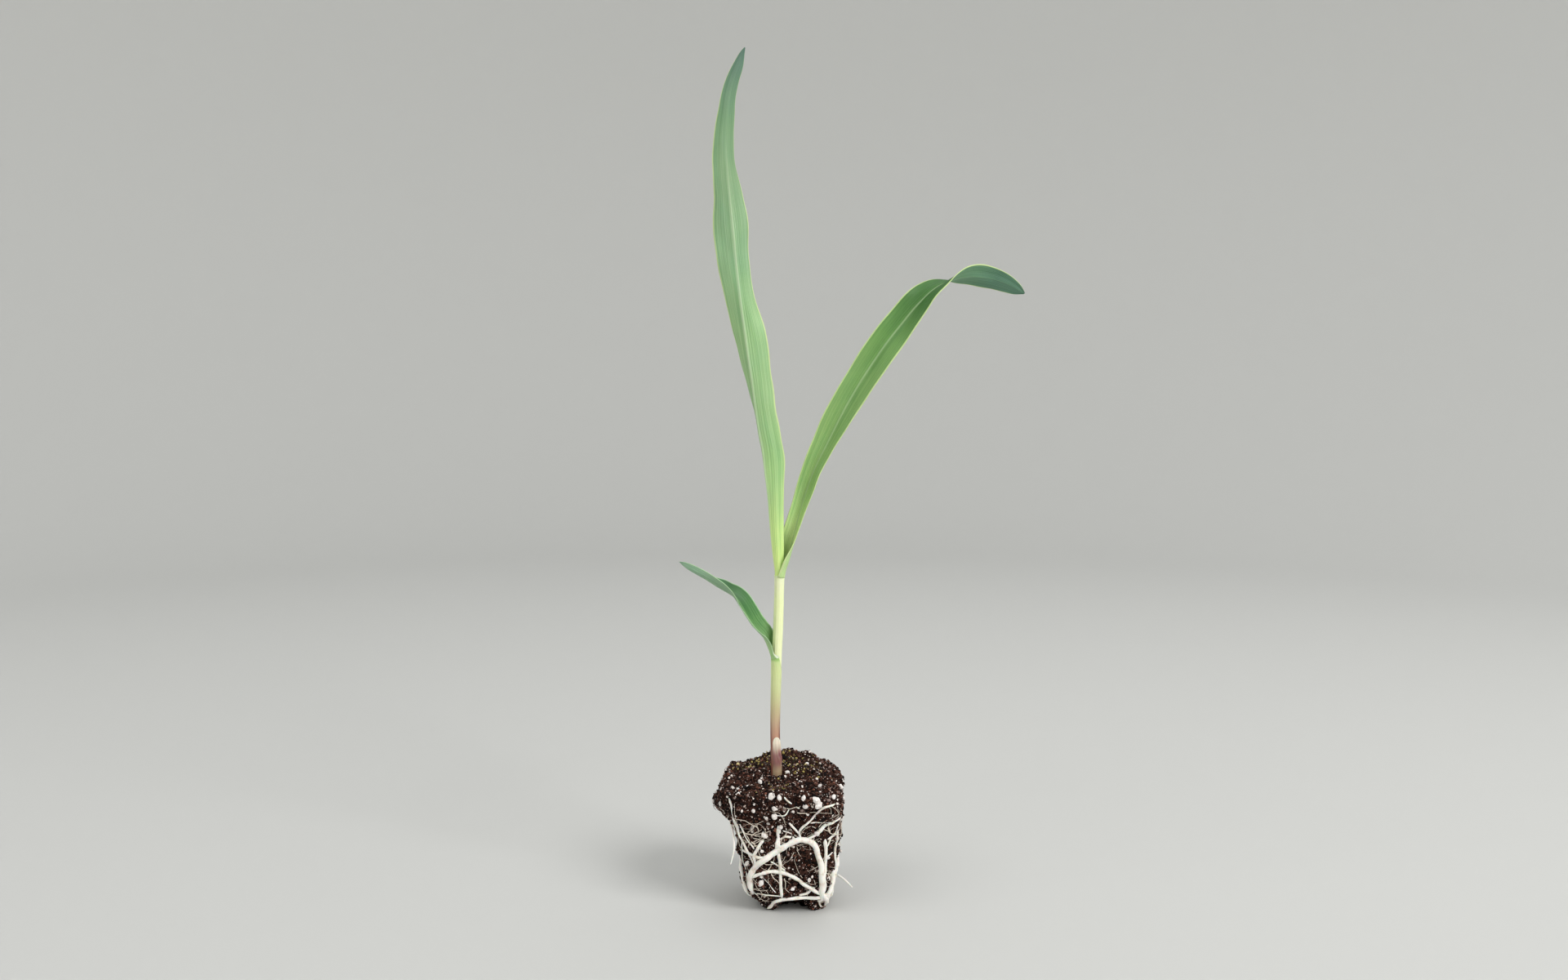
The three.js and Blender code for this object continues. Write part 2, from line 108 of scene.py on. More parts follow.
def mesh_of(name, points, faces, uv=None, values=None, smooth=True):
    """An object from points in millimetres and lists of equal-sided faces, with a UV and named values
    for each point. It is shaded smooth, or else each face stays flat."""
    mesh = bpy.data.meshes.new(name)
    points = np.asarray(points, float).reshape(-1, 3)
    corners = np.concatenate([np.asarray(f, np.int32).ravel() for f in faces])
    sizes = np.concatenate([np.full(len(f), np.asarray(f).shape[1]) for f in faces])
    mesh.vertices.add(len(points))
    mesh.vertices.foreach_set("co", (points * MM).astype(np.float32).ravel())
    mesh.loops.add(len(corners))
    mesh.loops.foreach_set("vertex_index", corners)
    mesh.polygons.add(len(sizes))
    mesh.polygons.foreach_set("loop_start", np.cumsum(sizes) - sizes)
    mesh.update(calc_edges=True)
    mesh.polygons.foreach_set("use_smooth", np.full(len(sizes), smooth))
    if uv is not None:
        layer = mesh.uv_layers.new(name="UVMap")
        layer.uv.foreach_set("vector", np.asarray(uv, np.float32).reshape(-1, 2)[corners].ravel())
    for key, value in (values or {}).items():
        attribute = mesh.attributes.new(key, "FLOAT", "POINT")
        attribute.data.foreach_set("value", np.asarray(value, np.float32).ravel())
    mesh.validate()
    piece = bpy.data.objects.new(name, mesh)
    bpy.context.scene.collection.objects.link(piece)
    return piece


def enter(piece, material, node=None):
    """Gives a piece its material and slot, and hides the imported part of the node that it stands for
    where there is one. The plant is one body, so every piece rides on the root."""
    piece.data.materials.append(material)
    if node:
        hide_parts(node)
    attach(piece, "root")


def ring_faces(rows, columns):
    """Quads between neighbouring closed rings of a grid, whose points are numbered row by row."""
    i, j = np.meshgrid(np.arange(rows - 1), np.arange(columns), indexing="ij")
    a = i * columns + j
    b = i * columns + (j + 1) % columns
    return np.stack([a, b, b + columns, a + columns], -1).reshape(-1, 4)


def end_fans(rows, columns):
    """Triangles that fan the first and last ring of a grid shut, on two middle points that are
    numbered after the grid's own."""
    j = np.arange(columns)
    after = (j + 1) % columns
    first, last = rows * columns, (rows - 1) * columns
    low = np.stack([after, j, np.full(columns, first)], -1)
    high = np.stack([last + j, last + after, np.full(columns, first + 1)], -1)
    return np.concatenate([low, high])


def closed_rings(rings):
    """Points and faces of a closed surface through rings (rows, columns, 3), each end fanned shut on
    the middle of its ring."""
    rows, columns = rings.shape[:2]
    points = np.concatenate([rings.reshape(-1, 3), [rings[0].mean(0), rings[-1].mean(0)]])
    return points, [ring_faces(rows, columns), end_fans(rows, columns)]


def shell(name, outer, inner, uv, values=None):
    """A closed thin wall between two grids of points (rows, columns, 3) that lie back to back, with
    one UV for both. Its rings run over the outer grid and back under the inner one, and a strip
    between the two shuts each end."""
    rows, columns = outer.shape[:2]
    points = np.concatenate([outer, inner[:, ::-1]], 1).reshape(-1, 3)
    j = np.arange(columns - 1)
    under = 2 * columns - 1 - j
    last = (rows - 1) * 2 * columns
    low = np.stack([j + 1, j, under, under - 1], -1)
    high = np.stack([j, j + 1, under - 1, under], -1) + last
    faces = [np.concatenate([ring_faces(rows, 2 * columns), low, high])]
    uv = np.concatenate([uv, uv[:, ::-1]], 1)
    return outward(mesh_of(name, points, faces, uv, values))


def uv_of(across, along):
    """A UV from the place across a piece, between -1 and 1, and along it, between 0 and 1."""
    return np.stack(np.broadcast_arrays((across + 1) / 2, along), -1)


def outward(piece):
    """Turns a closed piece's faces so that they all point out."""
    mesh = piece.data
    mesh.calc_loop_triangles()
    corners = np.empty(len(mesh.loop_triangles) * 3, np.int32)
    mesh.loop_triangles.foreach_get("vertices", corners)
    places = np.empty(len(mesh.vertices) * 3, np.float32)
    mesh.vertices.foreach_get("co", places)
    a, b, c = places.reshape(-1, 3)[corners].reshape(-1, 3, 3).astype(float).transpose(1, 0, 2)
    if np.einsum("ij,ij->i", a, np.cross(b, c)).sum() < 0:
        mesh.flip_normals()
    return piece


def tubes(paths, radii, out, sides):
    """Points and faces of round tubes along paths (count, steps, 3) with radii (count, steps). Each
    ring turns about its path's direction, and starts from the outward vector given there."""
    count, steps = radii.shape
    along = unit(np.gradient(paths, axis=1))
    side = unit(np.cross(along, out))
    rise = np.cross(side, along)
    angle = np.arange(sides) / sides * 2 * np.pi
    around = side[:, :, None] * np.cos(angle)[:, None] + rise[:, :, None] * np.sin(angle)[:, None]
    rings = paths[:, :, None] + around * radii[:, :, None, None]
    points = np.concatenate([rings.reshape(count, -1, 3), paths[:, [0, -1]]], 1)
    shift = (np.arange(count) * points.shape[1])[:, None, None]
    quads, fans = ring_faces(steps, sides) + shift, end_fans(steps, sides) + shift
    return points.reshape(-1, 3), [quads.reshape(-1, 4), fans.reshape(-1, 3)]


# Materials

def srgb(text):
    """A six-digit colour as the linear values that a shader takes."""
    c = np.array([int(text[i:i + 2], 16) for i in (0, 2, 4)]) / 255
    return (*np.where(c <= 0.04045, c / 12.92, ((c + 0.055) / 1.055) ** 2.4), 1.0)


class Finish:
    """A material with one Principled shader, built up from nodes by short calls."""

    def __init__(self, name, roughness, **settings):
        self.material = bpy.data.materials.new(name)
        self.material.use_nodes = True
        self.nodes = self.material.node_tree.nodes
        self.links = self.material.node_tree.links
        self.shader = self.nodes["Principled BSDF"]
        self.set(self.shader, "Roughness", roughness)
        for key, value in settings.items():
            self.set(self.shader, key.replace("_", " "), value)

    def set(self, node, socket, value):
        """Gives a socket a value, or a link where the value is another node's output."""
        target = node.inputs[socket]
        if isinstance(value, bpy.types.NodeSocket):
            self.links.new(value, target)
        else:
            target.default_value = value

    def node(self, kind, output=0, inputs=None, **properties):
        """The output of a new node whose properties and inputs are set."""
        made = self.nodes.new(kind)
        for key, value in properties.items():
            setattr(made, key, value)
        for socket, value in (inputs or {}).items():
            self.set(made, socket, value)
        return made.outputs[output]

    def place(self):
        """The point on the piece, in Object coordinates."""
        return self.node("ShaderNodeTexCoord", "Object")

    def surface(self):
        """The UV's two numbers: across and along."""
        parts = self.nodes.new("ShaderNodeSeparateXYZ")
        self.links.new(self.node("ShaderNodeUVMap", uv_map="UVMap"), parts.inputs[0])
        return parts.outputs[0], parts.outputs[1]

    def value(self, name):
        """A number that the mesh holds for each point."""
        return self.node("ShaderNodeAttribute", "Fac", attribute_name=name)

    def math(self, operation, a, b=0.0, clamp=False):
        """One step of arithmetic on one or two values."""
        return self.node("ShaderNodeMath", 0, {0: a, 1: b}, operation=operation, use_clamp=clamp)

    def times(self, a, b):
        """The product of two values."""
        return self.math("MULTIPLY", a, b)

    def plus(self, a, b, clamp=False):
        """The sum of two values, kept between 0 and 1 where clamp says so."""
        return self.math("ADD", a, b, clamp)

    def away(self, value, centre):
        """How far a value is from a centre."""
        return self.math("ABSOLUTE", self.math("SUBTRACT", value, centre))

    def rise(self, value, low, high, to_low=0.0, to_high=1.0):
        """A value carried from one range to another, with soft ends."""
        inputs = {"Value": value, "From Min": low, "From Max": high, "To Min": to_low, "To Max": to_high}
        return self.node("ShaderNodeMapRange", 0, inputs, interpolation_type="SMOOTHSTEP")

    def noise(self, vector, scale, detail=3.0, roughness=0.55):
        """Noise between 0 and 1 at a point."""
        inputs = {"Vector": vector, "Scale": scale, "Detail": detail, "Roughness": roughness}
        return self.node("ShaderNodeTexNoise", "Fac", inputs)

    def streaks(self, across, along, fine, long, shift=0.0, detail=3.0):
        """Streaks that run along a piece: noise on its UV, drawn out lengthwise."""
        inputs = {0: self.times(across, fine), 1: self.times(along, long), 2: shift}
        return self.noise(self.node("ShaderNodeCombineXYZ", 0, inputs), 1.0, detail)

    def mix(self, factor, a, b, blend="MIX"):
        """Two colours mixed as far as the factor says."""
        return self.node("ShaderNodeMix", 2, {0: factor, 6: a, 7: b}, data_type="RGBA", blend_type=blend)

    def tint(self, factor, colour, by):
        """A colour multiplied by another as far as the factor says."""
        return self.mix(factor, colour, self.mix(1.0, colour, by, "MULTIPLY"))

    def ramp(self, value, stops):
        """Colours along a value, each given by its place."""
        made = self.nodes.new("ShaderNodeValToRGB")
        self.links.new(value, made.inputs[0])
        elements = made.color_ramp.elements
        while len(elements) < len(stops):
            elements.new(0.5)
        for element, (place, colour) in zip(elements, stops.items()):
            element.position = place
            element.color = srgb(colour)
        return made.outputs[0]

    def relief(self, height, distance):
        """A normal from a height between 0 and 1 that stands for a distance in millimetres."""
        return self.node("ShaderNodeBump", 0, {"Height": height, "Distance": distance * MM, "Strength": 1.0})

    def finish(self, colour, normal, roughness=None):
        """The material, once its shader has its colour, its relief and its roughness."""
        self.set(self.shader, "Base Color", colour)
        self.set(self.shader, "Normal", normal)
        if roughness is not None:
            self.set(self.shader, "Roughness", roughness)
        return self.material


# The streaks of a leaf: how many cross the blade and how many follow each other down it, the shift
# of their noise, the noise at which they start and are full, how strong they are, and their tint.
BLADE_STREAKS = {
    "broad": (11.0, 1.6, 0.0, 0.38, 0.66, 0.8, (0.76, 0.85, 0.78, 1)),
    "narrow": (38.0, 2.6, 4.0, 0.42, 0.66, 0.9, (1.3, 1.2, 1.3, 1)),
    "hair": (120.0, 4.0, 7.0, 0.42, 0.66, 0.8, (0.72, 0.8, 0.7, 1)),
    "patches": (3.0, 12.0, 9.0, 0.4, 0.72, 0.7, (0.86, 0.93, 0.97, 1)),
}
BLADE_DETAIL = 2.5
VEIN_TINT = (1.25, 1.18, 1.25, 1)
# The midrib's half width at the collar and at the tip, and where the pale margin starts and is full,
# as shares of the blade's width.
MIDRIB_WIDTH = (0.028, 0.02)
MARGIN = (0.468, 0.506)


def leaf_finish(name, face, back, midrib, margin, veins, soft_line=0.4, collar_edge="c6d89a"):
    """Leaf tissue: face and back each run through their own colours from collar to tip. Streaks,
    fine parallel veins, a pale midrib in a soft band, a pale margin and the collar's edges all follow
    the blade's UV."""
    f = Finish(name, 0.45, Specular_IOR_Level=0.4, Subsurface_Weight=0.1, Subsurface_Scale=0.4 * MM)
    f.set(f.shader, "Subsurface Radius", (0.4, 1.0, 0.2))
    across, along = f.surface()
    offset = f.away(across, 0.5)
    colour = f.mix(f.value("back"), f.ramp(along, face), f.ramp(along, back))

    noise = {}
    for kind, (fine, long, shift, start, full, strength, tint) in BLADE_STREAKS.items():
        noise[kind] = f.streaks(across, along, fine, long, shift, BLADE_DETAIL)
        colour = f.tint(f.rise(noise[kind], start, full, 0.0, strength), colour, tint)
    vein = f.rise(f.math("SINE", f.times(across, 2 * math.pi * veins)), 0.3, 1.0)
    vein = f.times(vein, f.rise(along, 0.04, 0.25, 0.15, 1.0))
    colour = f.tint(f.times(vein, 0.4), colour, VEIN_TINT)

    far = f.math("DIVIDE", offset, f.rise(along, 0.0, 1.0, *MIDRIB_WIDTH))
    fade = f.rise(along, 0.6, 0.9, 1.0, 0.1)
    line = f.mix(f.value("back"), (soft_line, 0, 0, 1), (0.85, 0, 0, 1))
    band = f.times(f.rise(far, 0.6, 2.6, 0.3, 0.0), fade)
    rib = f.times(f.times(f.rise(far, 0.25, 0.85), -1.0), line)
    rib = f.times(f.plus(rib, line), fade)
    colour = f.mix(f.plus(band, rib, clamp=True), colour, srgb(midrib))

    uneven = f.plus(offset, f.times(noise["broad"], 0.03))
    colour = f.mix(f.rise(uneven, *MARGIN, 0.0, 0.95), colour, srgb(margin))
    collar = f.times(f.rise(along, 0.02, 0.07, 1.0, 0.0), f.rise(offset, 0.42, 0.46))
    colour = f.mix(collar, colour, srgb(collar_edge))
    height = f.plus(f.times(noise["narrow"], 0.7), f.times(noise["hair"], 0.4))
    height = f.plus(height, f.times(vein, 0.35))
    return f.finish(colour, f.relief(height, 0.08), f.rise(noise["narrow"], 0.3, 0.7, 0.4, 0.56))


def stem_finish(name, stops, foot_red_and_shade):
    """Sheath tissue: colours up its length from the UV, faint ribs and patches, and, where asked, a foot
    that reddens away from the plant's front: the foot's own red, deepened there as painted shade on
    the sides that turn away from the front."""
    f = Finish(name, 0.38, Specular_IOR_Level=0.45, Subsurface_Weight=0.2, Subsurface_Scale=0.8 * MM)
    f.set(f.shader, "Subsurface Radius", (0.8, 1.0, 0.4))
    around, along = f.surface()
    colour = f.ramp(along, stops)
    ribs = f.streaks(around, along, 46.0, 2.5)
    patches = f.streaks(around, along, 5.0, 7.0, 3.0)
    colour = f.tint(f.rise(ribs, 0.38, 0.7, 0.0, 0.4), colour, (0.82, 0.88, 0.78, 1))
    colour = f.tint(f.rise(patches, 0.4, 0.75, 0.0, 0.3), colour, (0.9, 0.86, 0.8, 1))
    if foot_red_and_shade:
        # The foot's red away from the front: partly the stem's own red, partly painted shade on its
        # turned-away sides.
        from_front = f.away(around, 0.75)
        red_and_shade = f.times(f.rise(from_front, 0.06, 0.22), f.rise(along, 0.34, 0.64, 0.95, 0.0))
        colour = f.mix(red_and_shade, colour, srgb("672c24"))
    return f.finish(colour, f.relief(ribs, 0.06))


def husk_finish():
    """The coleoptile: cream at the tip, dusky pink in the middle and tan at the foot."""
    f = Finish("coleoptile_tissue", 0.45, Specular_IOR_Level=0.4, Subsurface_Weight=0.25,
               Subsurface_Scale=0.6 * MM)
    around, along = f.surface()
    colour = f.ramp(along, {0.0: "8a6a55", 0.25: "b09a7c", 0.42: "967166", 0.6: "9b756e",
                            0.74: "cbb7a4", 0.88: "ece4cf", 1.0: "f1ead6"})
    streaks = f.streaks(around, along, 14.0, 2.0)
    stain = f.times(f.rise(streaks, 0.45, 0.62), f.rise(along, 0.3, 0.5))
    stain = f.times(stain, f.rise(along, 0.62, 0.78, 1.0, 0.0))
    colour = f.mix(f.times(stain, 0.85), colour, srgb("8f4f58"))
    colour = f.tint(f.rise(streaks, 0.45, 0.65, 0.0, 0.35), colour, (0.8, 0.72, 0.68, 1))
    return f.finish(colour, f.relief(streaks, 0.08))


def root_finish():
    """White root tissue with tan blotches and a fine relief."""
    f = Finish("root_tissue", 0.5, Specular_IOR_Level=0.4, Subsurface_Weight=0.25, Subsurface_Scale=0.6 * MM)
    place = f.place()
    blotch = f.rise(f.noise(place, 420.0, 4.0), 0.5, 0.8)
    colour = f.mix(blotch, srgb("f4f0e8"), srgb("cdbfa8"))
    return f.finish(colour, f.relief(f.noise(place, 1500.0), 0.05))


def grain_finish(name, dark, light, size, roughness, relief, **settings):
    """A grainy finish on Object coordinates: two colours mixed by noise, with its relief."""
    f = Finish(name, roughness, **settings)
    place = f.place()
    coarse = f.noise(place, 1 / (size * MM), 5.0, 0.65)
    fine = f.noise(place, 4 / (size * MM), 4.0, 0.6)
    colour = f.mix(f.rise(coarse, 0.35, 0.68), srgb(dark), srgb(light))
    colour = f.tint(f.rise(fine, 0.4, 0.7, 0.0, 0.5), colour, (0.55, 0.52, 0.5, 1))
    height = f.plus(coarse, f.times(fine, 0.5))
    return f.finish(colour, f.relief(height, relief))


def plain_finish(name, colour, roughness, **settings):
    """A plain base colour with a fine relief, for grains that are dealt out in many pieces."""
    f = Finish(name, roughness, **settings)
    return f.finish(srgb(colour), f.relief(f.noise(f.place(), 2600.0), 0.12))


# Leaves

# Each row is a station of the midrib on the leaf's back, from the collar to the tip: x, y, z, the
# left and right half widths as seen on the leaf's face, the fold at the midrib and the further curl
# over each half in degrees, and the way that the face looks.
FIRST_LEAF = [
    (-3.95, 0.0, 76.4, 3.2, 3.2, 0, 114, 1.0, 0.0, 0.0),
    (-4.25, -0.05, 78.0, 2.5, 2.6, 4, 84, 0.94, -0.2, 0.26),
    (-4.95, -0.1, 80.2, 2.9, 2.9, 20, 44, 0.88, -0.21, 0.42),
    (-6.55, -0.3, 83.5, 4.0, 4.0, 32, 24, 0.78, -0.44, 0.46),
    (-8.35, -0.6, 85.5, 4.2, 4.3, 37, 16, 0.72, -0.54, 0.45),
    (-10.0, -0.9, 87.7, 4.3, 4.4, 39, 12, 0.7, -0.6, 0.39),
    (-11.4, -1.2, 90.1, 4.2, 4.4, 39, 12, 0.7, -0.63, 0.32),
    (-12.65, -1.5, 92.4, 4.0, 4.2, 36, 12, 0.71, -0.62, 0.33),
    (-13.8, -1.8, 94.3, 3.9, 4.1, 31, 12, 0.71, -0.55, 0.45),
    (-15.15, -2.1, 95.9, 4.3, 4.1, 28, 12, 0.68, -0.38, 0.63),
    (-16.95, -2.5, 97.3, 4.4, 4.2, 27, 10, 0.6, -0.16, 0.78),
    (-19.05, -2.9, 98.65, 3.9, 4.7, 28, 10, 0.57, 0.02, 0.83),
    (-21.2, -3.3, 100.0, 3.15, 4.4, 30, 10, 0.52, 0.21, 0.82),
    (-23.4, -3.7, 101.35, 2.85, 3.6, 32, 10, 0.47, 0.38, 0.79),
    (-25.8, -4.1, 102.8, 2.65, 2.9, 34, 10, 0.44, 0.46, 0.77),
    (-27.9, -4.5, 104.1, 2.4, 2.5, 35, 8, 0.44, 0.48, 0.76),
    (-29.9, -4.8, 105.45, 2.0, 1.9, 35, 6, 0.44, 0.48, 0.76),
    (-31.2, -5.0, 106.5, 1.3, 1.2, 34, 4, 0.42, 0.48, 0.77),
    (-32.0, -5.05, 107.25, 0.3, 0.25, 32, 4, 0.41, 0.48, 0.78),
]
SECOND_LEAF = [
    (-0.12, 0.78, 101.6, 4.0, 4.0, 0, 150, -0.86, -0.5, 0.0),
    (0.25, 0.95, 104.0, 3.3, 4.0, 0, 116, -0.86, -0.5, 0.0),
    (1.05, 1.25, 106.7, 4.2, 4.6, 2, 98, -0.85, -0.52, 0.0),
    (2.1, 1.6, 111.0, 4.2, 4.2, 12, 58, -0.78, -0.62, 0.0),
    (3.25, 1.7, 115.5, 3.9, 3.9, 24, 42, -0.6, -0.8, 0.0),
    (5.35, 1.6, 123.3, 3.8, 3.9, 36, 24, -0.35, -0.93, 0.1),
    (7.3, 1.3, 129.6, 4.0, 4.6, 37, 18, -0.32, -0.94, 0.12),
    (9.55, 0.9, 135.4, 4.5, 4.15, 38, 14, -0.3, -0.94, 0.13),
    (12.5, 0.4, 141.5, 5.1, 4.2, 36, 8, -0.27, -0.94, 0.15),
    (16.2, -0.1, 149.0, 5.6, 5.1, 34, 6, -0.25, -0.94, 0.17),
    (20.9, -0.8, 158.0, 5.4, 6.1, 33, 4, -0.22, -0.95, 0.18),
    (29.1, -1.8, 170.9, 5.6, 6.5, 31, 2, -0.2, -0.95, 0.2),
    (35.2, -2.4, 179.0, 5.4, 5.8, 28, 0, -0.19, -0.94, 0.26),
    (40.6, -2.4, 185.5, 5.1, 5.0, 24, 0, -0.22, -0.86, 0.42),
    (45.4, -1.5, 189.9, 4.8, 4.5, 18, 0, -0.3, -0.55, 0.78),
    (50.2, 0.5, 192.8, 4.4, 4.4, 14, 0, -0.15, -0.02, 1.0),
    (56.4, 3.5, 194.5, 4.2, 4.2, 12, 0, 0.0, 0.62, 0.79),
    (64.4, 8.0, 194.3, 3.9, 3.7, 10, 0, 0.0, 0.88, 0.5),
    (71.2, 13.0, 192.8, 3.0, 2.5, 8, 0, 0.0, 0.9, 0.45),
    (74.9, 16.0, 191.4, 1.8, 1.3, 8, 0, 0.0, 0.9, 0.45),
    (76.7, 17.6, 190.6, 0.3, 0.3, 6, 0, 0.0, 0.9, 0.45),
]
THIRD_LEAF = [
    (-2.5, 0.0, 98.0, 3.3, 3.3, 0, 172, 1.0, 0.0, 0.0),
    (-2.6, 0.0, 101.6, 3.5, 3.5, 0, 170, 1.0, 0.0, 0.0),
    (-2.75, 0.0, 104.0, 3.9, 3.9, 0, 160, 1.0, 0.0, 0.0),
    (-3.25, -0.1, 109.0, 4.2, 4.2, 5, 134, 0.99, 0.12, 0.0),
    (-3.9, -0.4, 116.0, 4.6, 4.5, 10, 110, 0.97, 0.26, 0.0),
    (-4.85, -1.0, 128.0, 5.3, 5.2, 20, 75, 0.88, 0.47, 0.0),
    (-6.35, -1.5, 140.2, 6.9, 5.4, 25, 50, 0.79, 0.62, 0.0),
    (-8.25, -2.5, 152.0, 6.2, 5.5, 26, 35, 0.74, 0.67, 0.0),
    (-9.9, -4.0, 164.0, 6.4, 5.3, 25, 25, 0.5, 0.87, 0.0),
    (-11.6, -5.0, 175.8, 6.4, 4.7, 20, 15, 0.3, 0.95, 0.0),
    (-13.15, -6.5, 187.4, 4.95, 4.9, 20, 12, -0.12, 0.99, 0.0),
    (-14.4, -7.8, 199.0, 4.85, 5.9, 17, 12, -0.24, 0.97, 0.0),
    (-15.5, -9.0, 210.6, 5.6, 5.7, 15, 12, -0.26, 0.97, 0.0),
    (-16.1, -9.7, 216.5, 5.15, 4.6, 15, 12, -0.36, 0.93, 0.0),
    (-16.6, -10.4, 222.0, 4.6, 4.55, 15, 12, -0.45, 0.89, 0.0),
    (-16.95, -11.0, 228.3, 3.2, 4.2, 15, 12, -0.48, 0.88, 0.0),
    (-17.15, -11.5, 233.7, 3.4, 3.45, 15, 10, -0.5, 0.87, 0.0),
    (-16.8, -12.0, 240.0, 3.2, 2.6, 14, 9, -0.48, 0.88, 0.0),
    (-16.2, -12.3, 245.0, 2.8, 2.3, 14, 8, -0.42, 0.91, 0.0),
    (-14.9, -12.6, 249.9, 2.2, 1.85, 13, 8, -0.35, 0.93, 0.0),
    (-13.3, -12.85, 253.8, 1.65, 1.45, 12, 6, -0.3, 0.95, 0.0),
    (-11.9, -13.0, 257.5, 0.6, 0.55, 10, 4, -0.3, 0.95, 0.0),
    (-11.35, -13.05, 258.6, 0.15, 0.15, 10, 0, -0.3, 0.95, 0.0),
]

# What the three blades share, in millimetres or as shares. The fold is rounded over a share of the
# half width, and the columns crowd towards the midrib by a power. A ruffle is its wavelength, its
# share and its shift between the two margins. Ridges run lengthwise, so many to each half. Where a
# half is narrower than the last value, the blade thins with it.
FOLD_ROUND = 0.09
CROWDING = 1.25
RUFFLES = [(23.0, 1.0, 1.3), (11.0, 0.6, 2.1)]
CRINKLE = {"height": 0.1, "size": 3.2, "stretch": 4}
RIDGES = {"count": 7.5, "face": 0.03, "back": 0.04}
RIB_SPREAD = 0.42
GROOVE_DEPTH = 0.1
MARGIN_THICKNESS = 0.55
FULL_THICKNESS_FROM = 2.0


def blade(name, table, rows, half_columns, lamina, rib, lap, ruffle, seed):
    """A leaf blade as a closed surface. Down its length, the station's values run on splines. Across
    it, each half leaves the midrib at the fold and bends at an even rate to fold plus curl, so its
    outline is an arc: x is the sine's change over the bend and n the cosine's, less the rise that the
    fold loses where the root of two squares' sum rounds it. The face and the back lie half a
    thickness to either side, with a rib on the back, a groove on the face and fine ridges on both.
    The margins ruffle and thin out, and the right half curls less by its lap."""
    along, values = stations(table, rows)
    centre, face = values[:, :3], values[:, 7:]
    tangent = unit(np.gradient(centre, axis=0))
    face = unit(face - (face * tangent).sum(-1, keepdims=True) * tangent)
    side = np.cross(tangent, face)

    even = np.linspace(-1, 1, 2 * half_columns + 1)
    across = np.sign(even) * np.abs(even) ** CROWDING
    reach = np.abs(across)[None, :]
    s = along[:, None]
    half = np.where(across < 0, values[:, 3:4], values[:, 4:5])
    fold = np.radians(values[:, 5:6])
    curl = np.radians(np.maximum(values[:, 6:7], 0.5)) * np.where(across < 0, 1.0, 1.0 - lap)
    bend = fold + curl * reach
    x = half * (np.sin(bend) - np.sin(fold)) / curl * np.sign(across)
    round_fold = np.sqrt(reach ** 2 + FOLD_ROUND ** 2)
    n = half * (np.cos(fold) - np.cos(bend)) / curl
    n = n - half * np.sin(fold) * (reach + FOLD_ROUND - round_fold)

    length = np.linalg.norm(np.diff(centre, axis=0), axis=1).sum()
    sign = np.where(across < 0, -1.0, 1.0)
    wave = sum(share * np.sin(2 * np.pi * (s * length / long) + shift * sign)
               for long, share, shift in RUFFLES)
    open_part = step(s, 0.12, 0.3) * (1 - 0.6 * step(s, 0.85, 1.0))
    n = n + ruffle * wave * reach ** 3 * open_part
    stretch = CRINKLE["stretch"]
    flat = np.stack(np.broadcast_arrays(across * stretch, s * length / stretch, 0.0), -1)
    n = n + CRINKLE["height"] * field(flat, CRINKLE["size"], seed) * open_part * (1 - reach ** 4)

    tilt = bend * across / round_fold
    normal = face[:, None] * np.cos(tilt)[..., None] - side[:, None] * np.sin(tilt)[..., None]
    middle = centre[:, None] + side[:, None] * x[..., None] + face[:, None] * n[..., None]
    edge = np.sqrt(np.maximum(1 - reach ** 10, 0.0))
    width = np.abs(across) * half
    ridge = bump(width, 0, RIB_SPREAD) * (1 - 0.75 * s) * step(s, 0.015, 0.1)
    ribs = (0.5 + 0.5 * np.cos(across * 2 * np.pi * RIDGES["count"])) * step(s, 0.02, 0.22)
    body = lamina * (MARGIN_THICKNESS + (1 - MARGIN_THICKNESS) * edge)
    thin = np.clip(np.maximum(half, 0.3) / FULL_THICKNESS_FROM, 0.25, 1.0)
    top = body * 0.5 + RIDGES["face"] * ribs - GROOVE_DEPTH * ridge
    bottom = body * 0.5 + RIDGES["back"] * ribs + rib * ridge
    upper = middle + normal * (top * thin)[..., None]
    lower = middle - normal * (bottom * thin)[..., None]
    back = np.repeat([[0.0, 1.0]], across.size, 1)
    return shell(name, upper, lower, uv_of(across, s), {"back": np.repeat(back, rows, 0)})


# The leaves' colours from the collar to the tip, on the face and on the back.
FIRST_FACE = {0.0: "86a46c", 0.18: "739c60", 0.32: "68995a", 0.42: "588b50", 0.5: "44743f", 0.6: "376137",
              0.68: "507b53", 0.78: "789f7e", 1.0: "84aa8a"}
FIRST_BACK = {0.0: "b4d48f", 0.2: "9bbf86", 0.45: "8fb285", 0.7: "8fb08d", 1.0: "92b496"}
# The second leaf's face is palest at its collar: a paler leaf foot, lightened further as painted light where
# the stem and the third leaf shade it.
SECOND_FACE = {0.0: "e4f6b0", 0.08: "def2a6", 0.15: "b4d486", 0.22: "92b66c", 0.4: "86ac66", 0.5: "7fa660",
               0.58: "709c53", 0.68: "42702f", 0.77: "38682a", 1.0: "4e7a44"}
SECOND_BACK = {0.0: "c8de98", 0.12: "abc985", 0.4: "93b97c", 0.75: "6f9a70", 0.9: "50785e", 1.0: "567e66"}
THIRD_FACE = {0.0: "98b668", 0.14: "7aa04f", 0.4: "76a550", 0.75: "5f9442", 1.0: "55824f"}
THIRD_BACK = {0.0: "e2f69c", 0.05: "ddf396", 0.1: "cdea92", 0.17: "b2d389", 0.25: "9fc683", 0.37: "9fc28a",
              0.5: "9dc188", 0.63: "90b386", 0.77: "86a57b", 0.87: "789a72", 1.0: "607f72"}


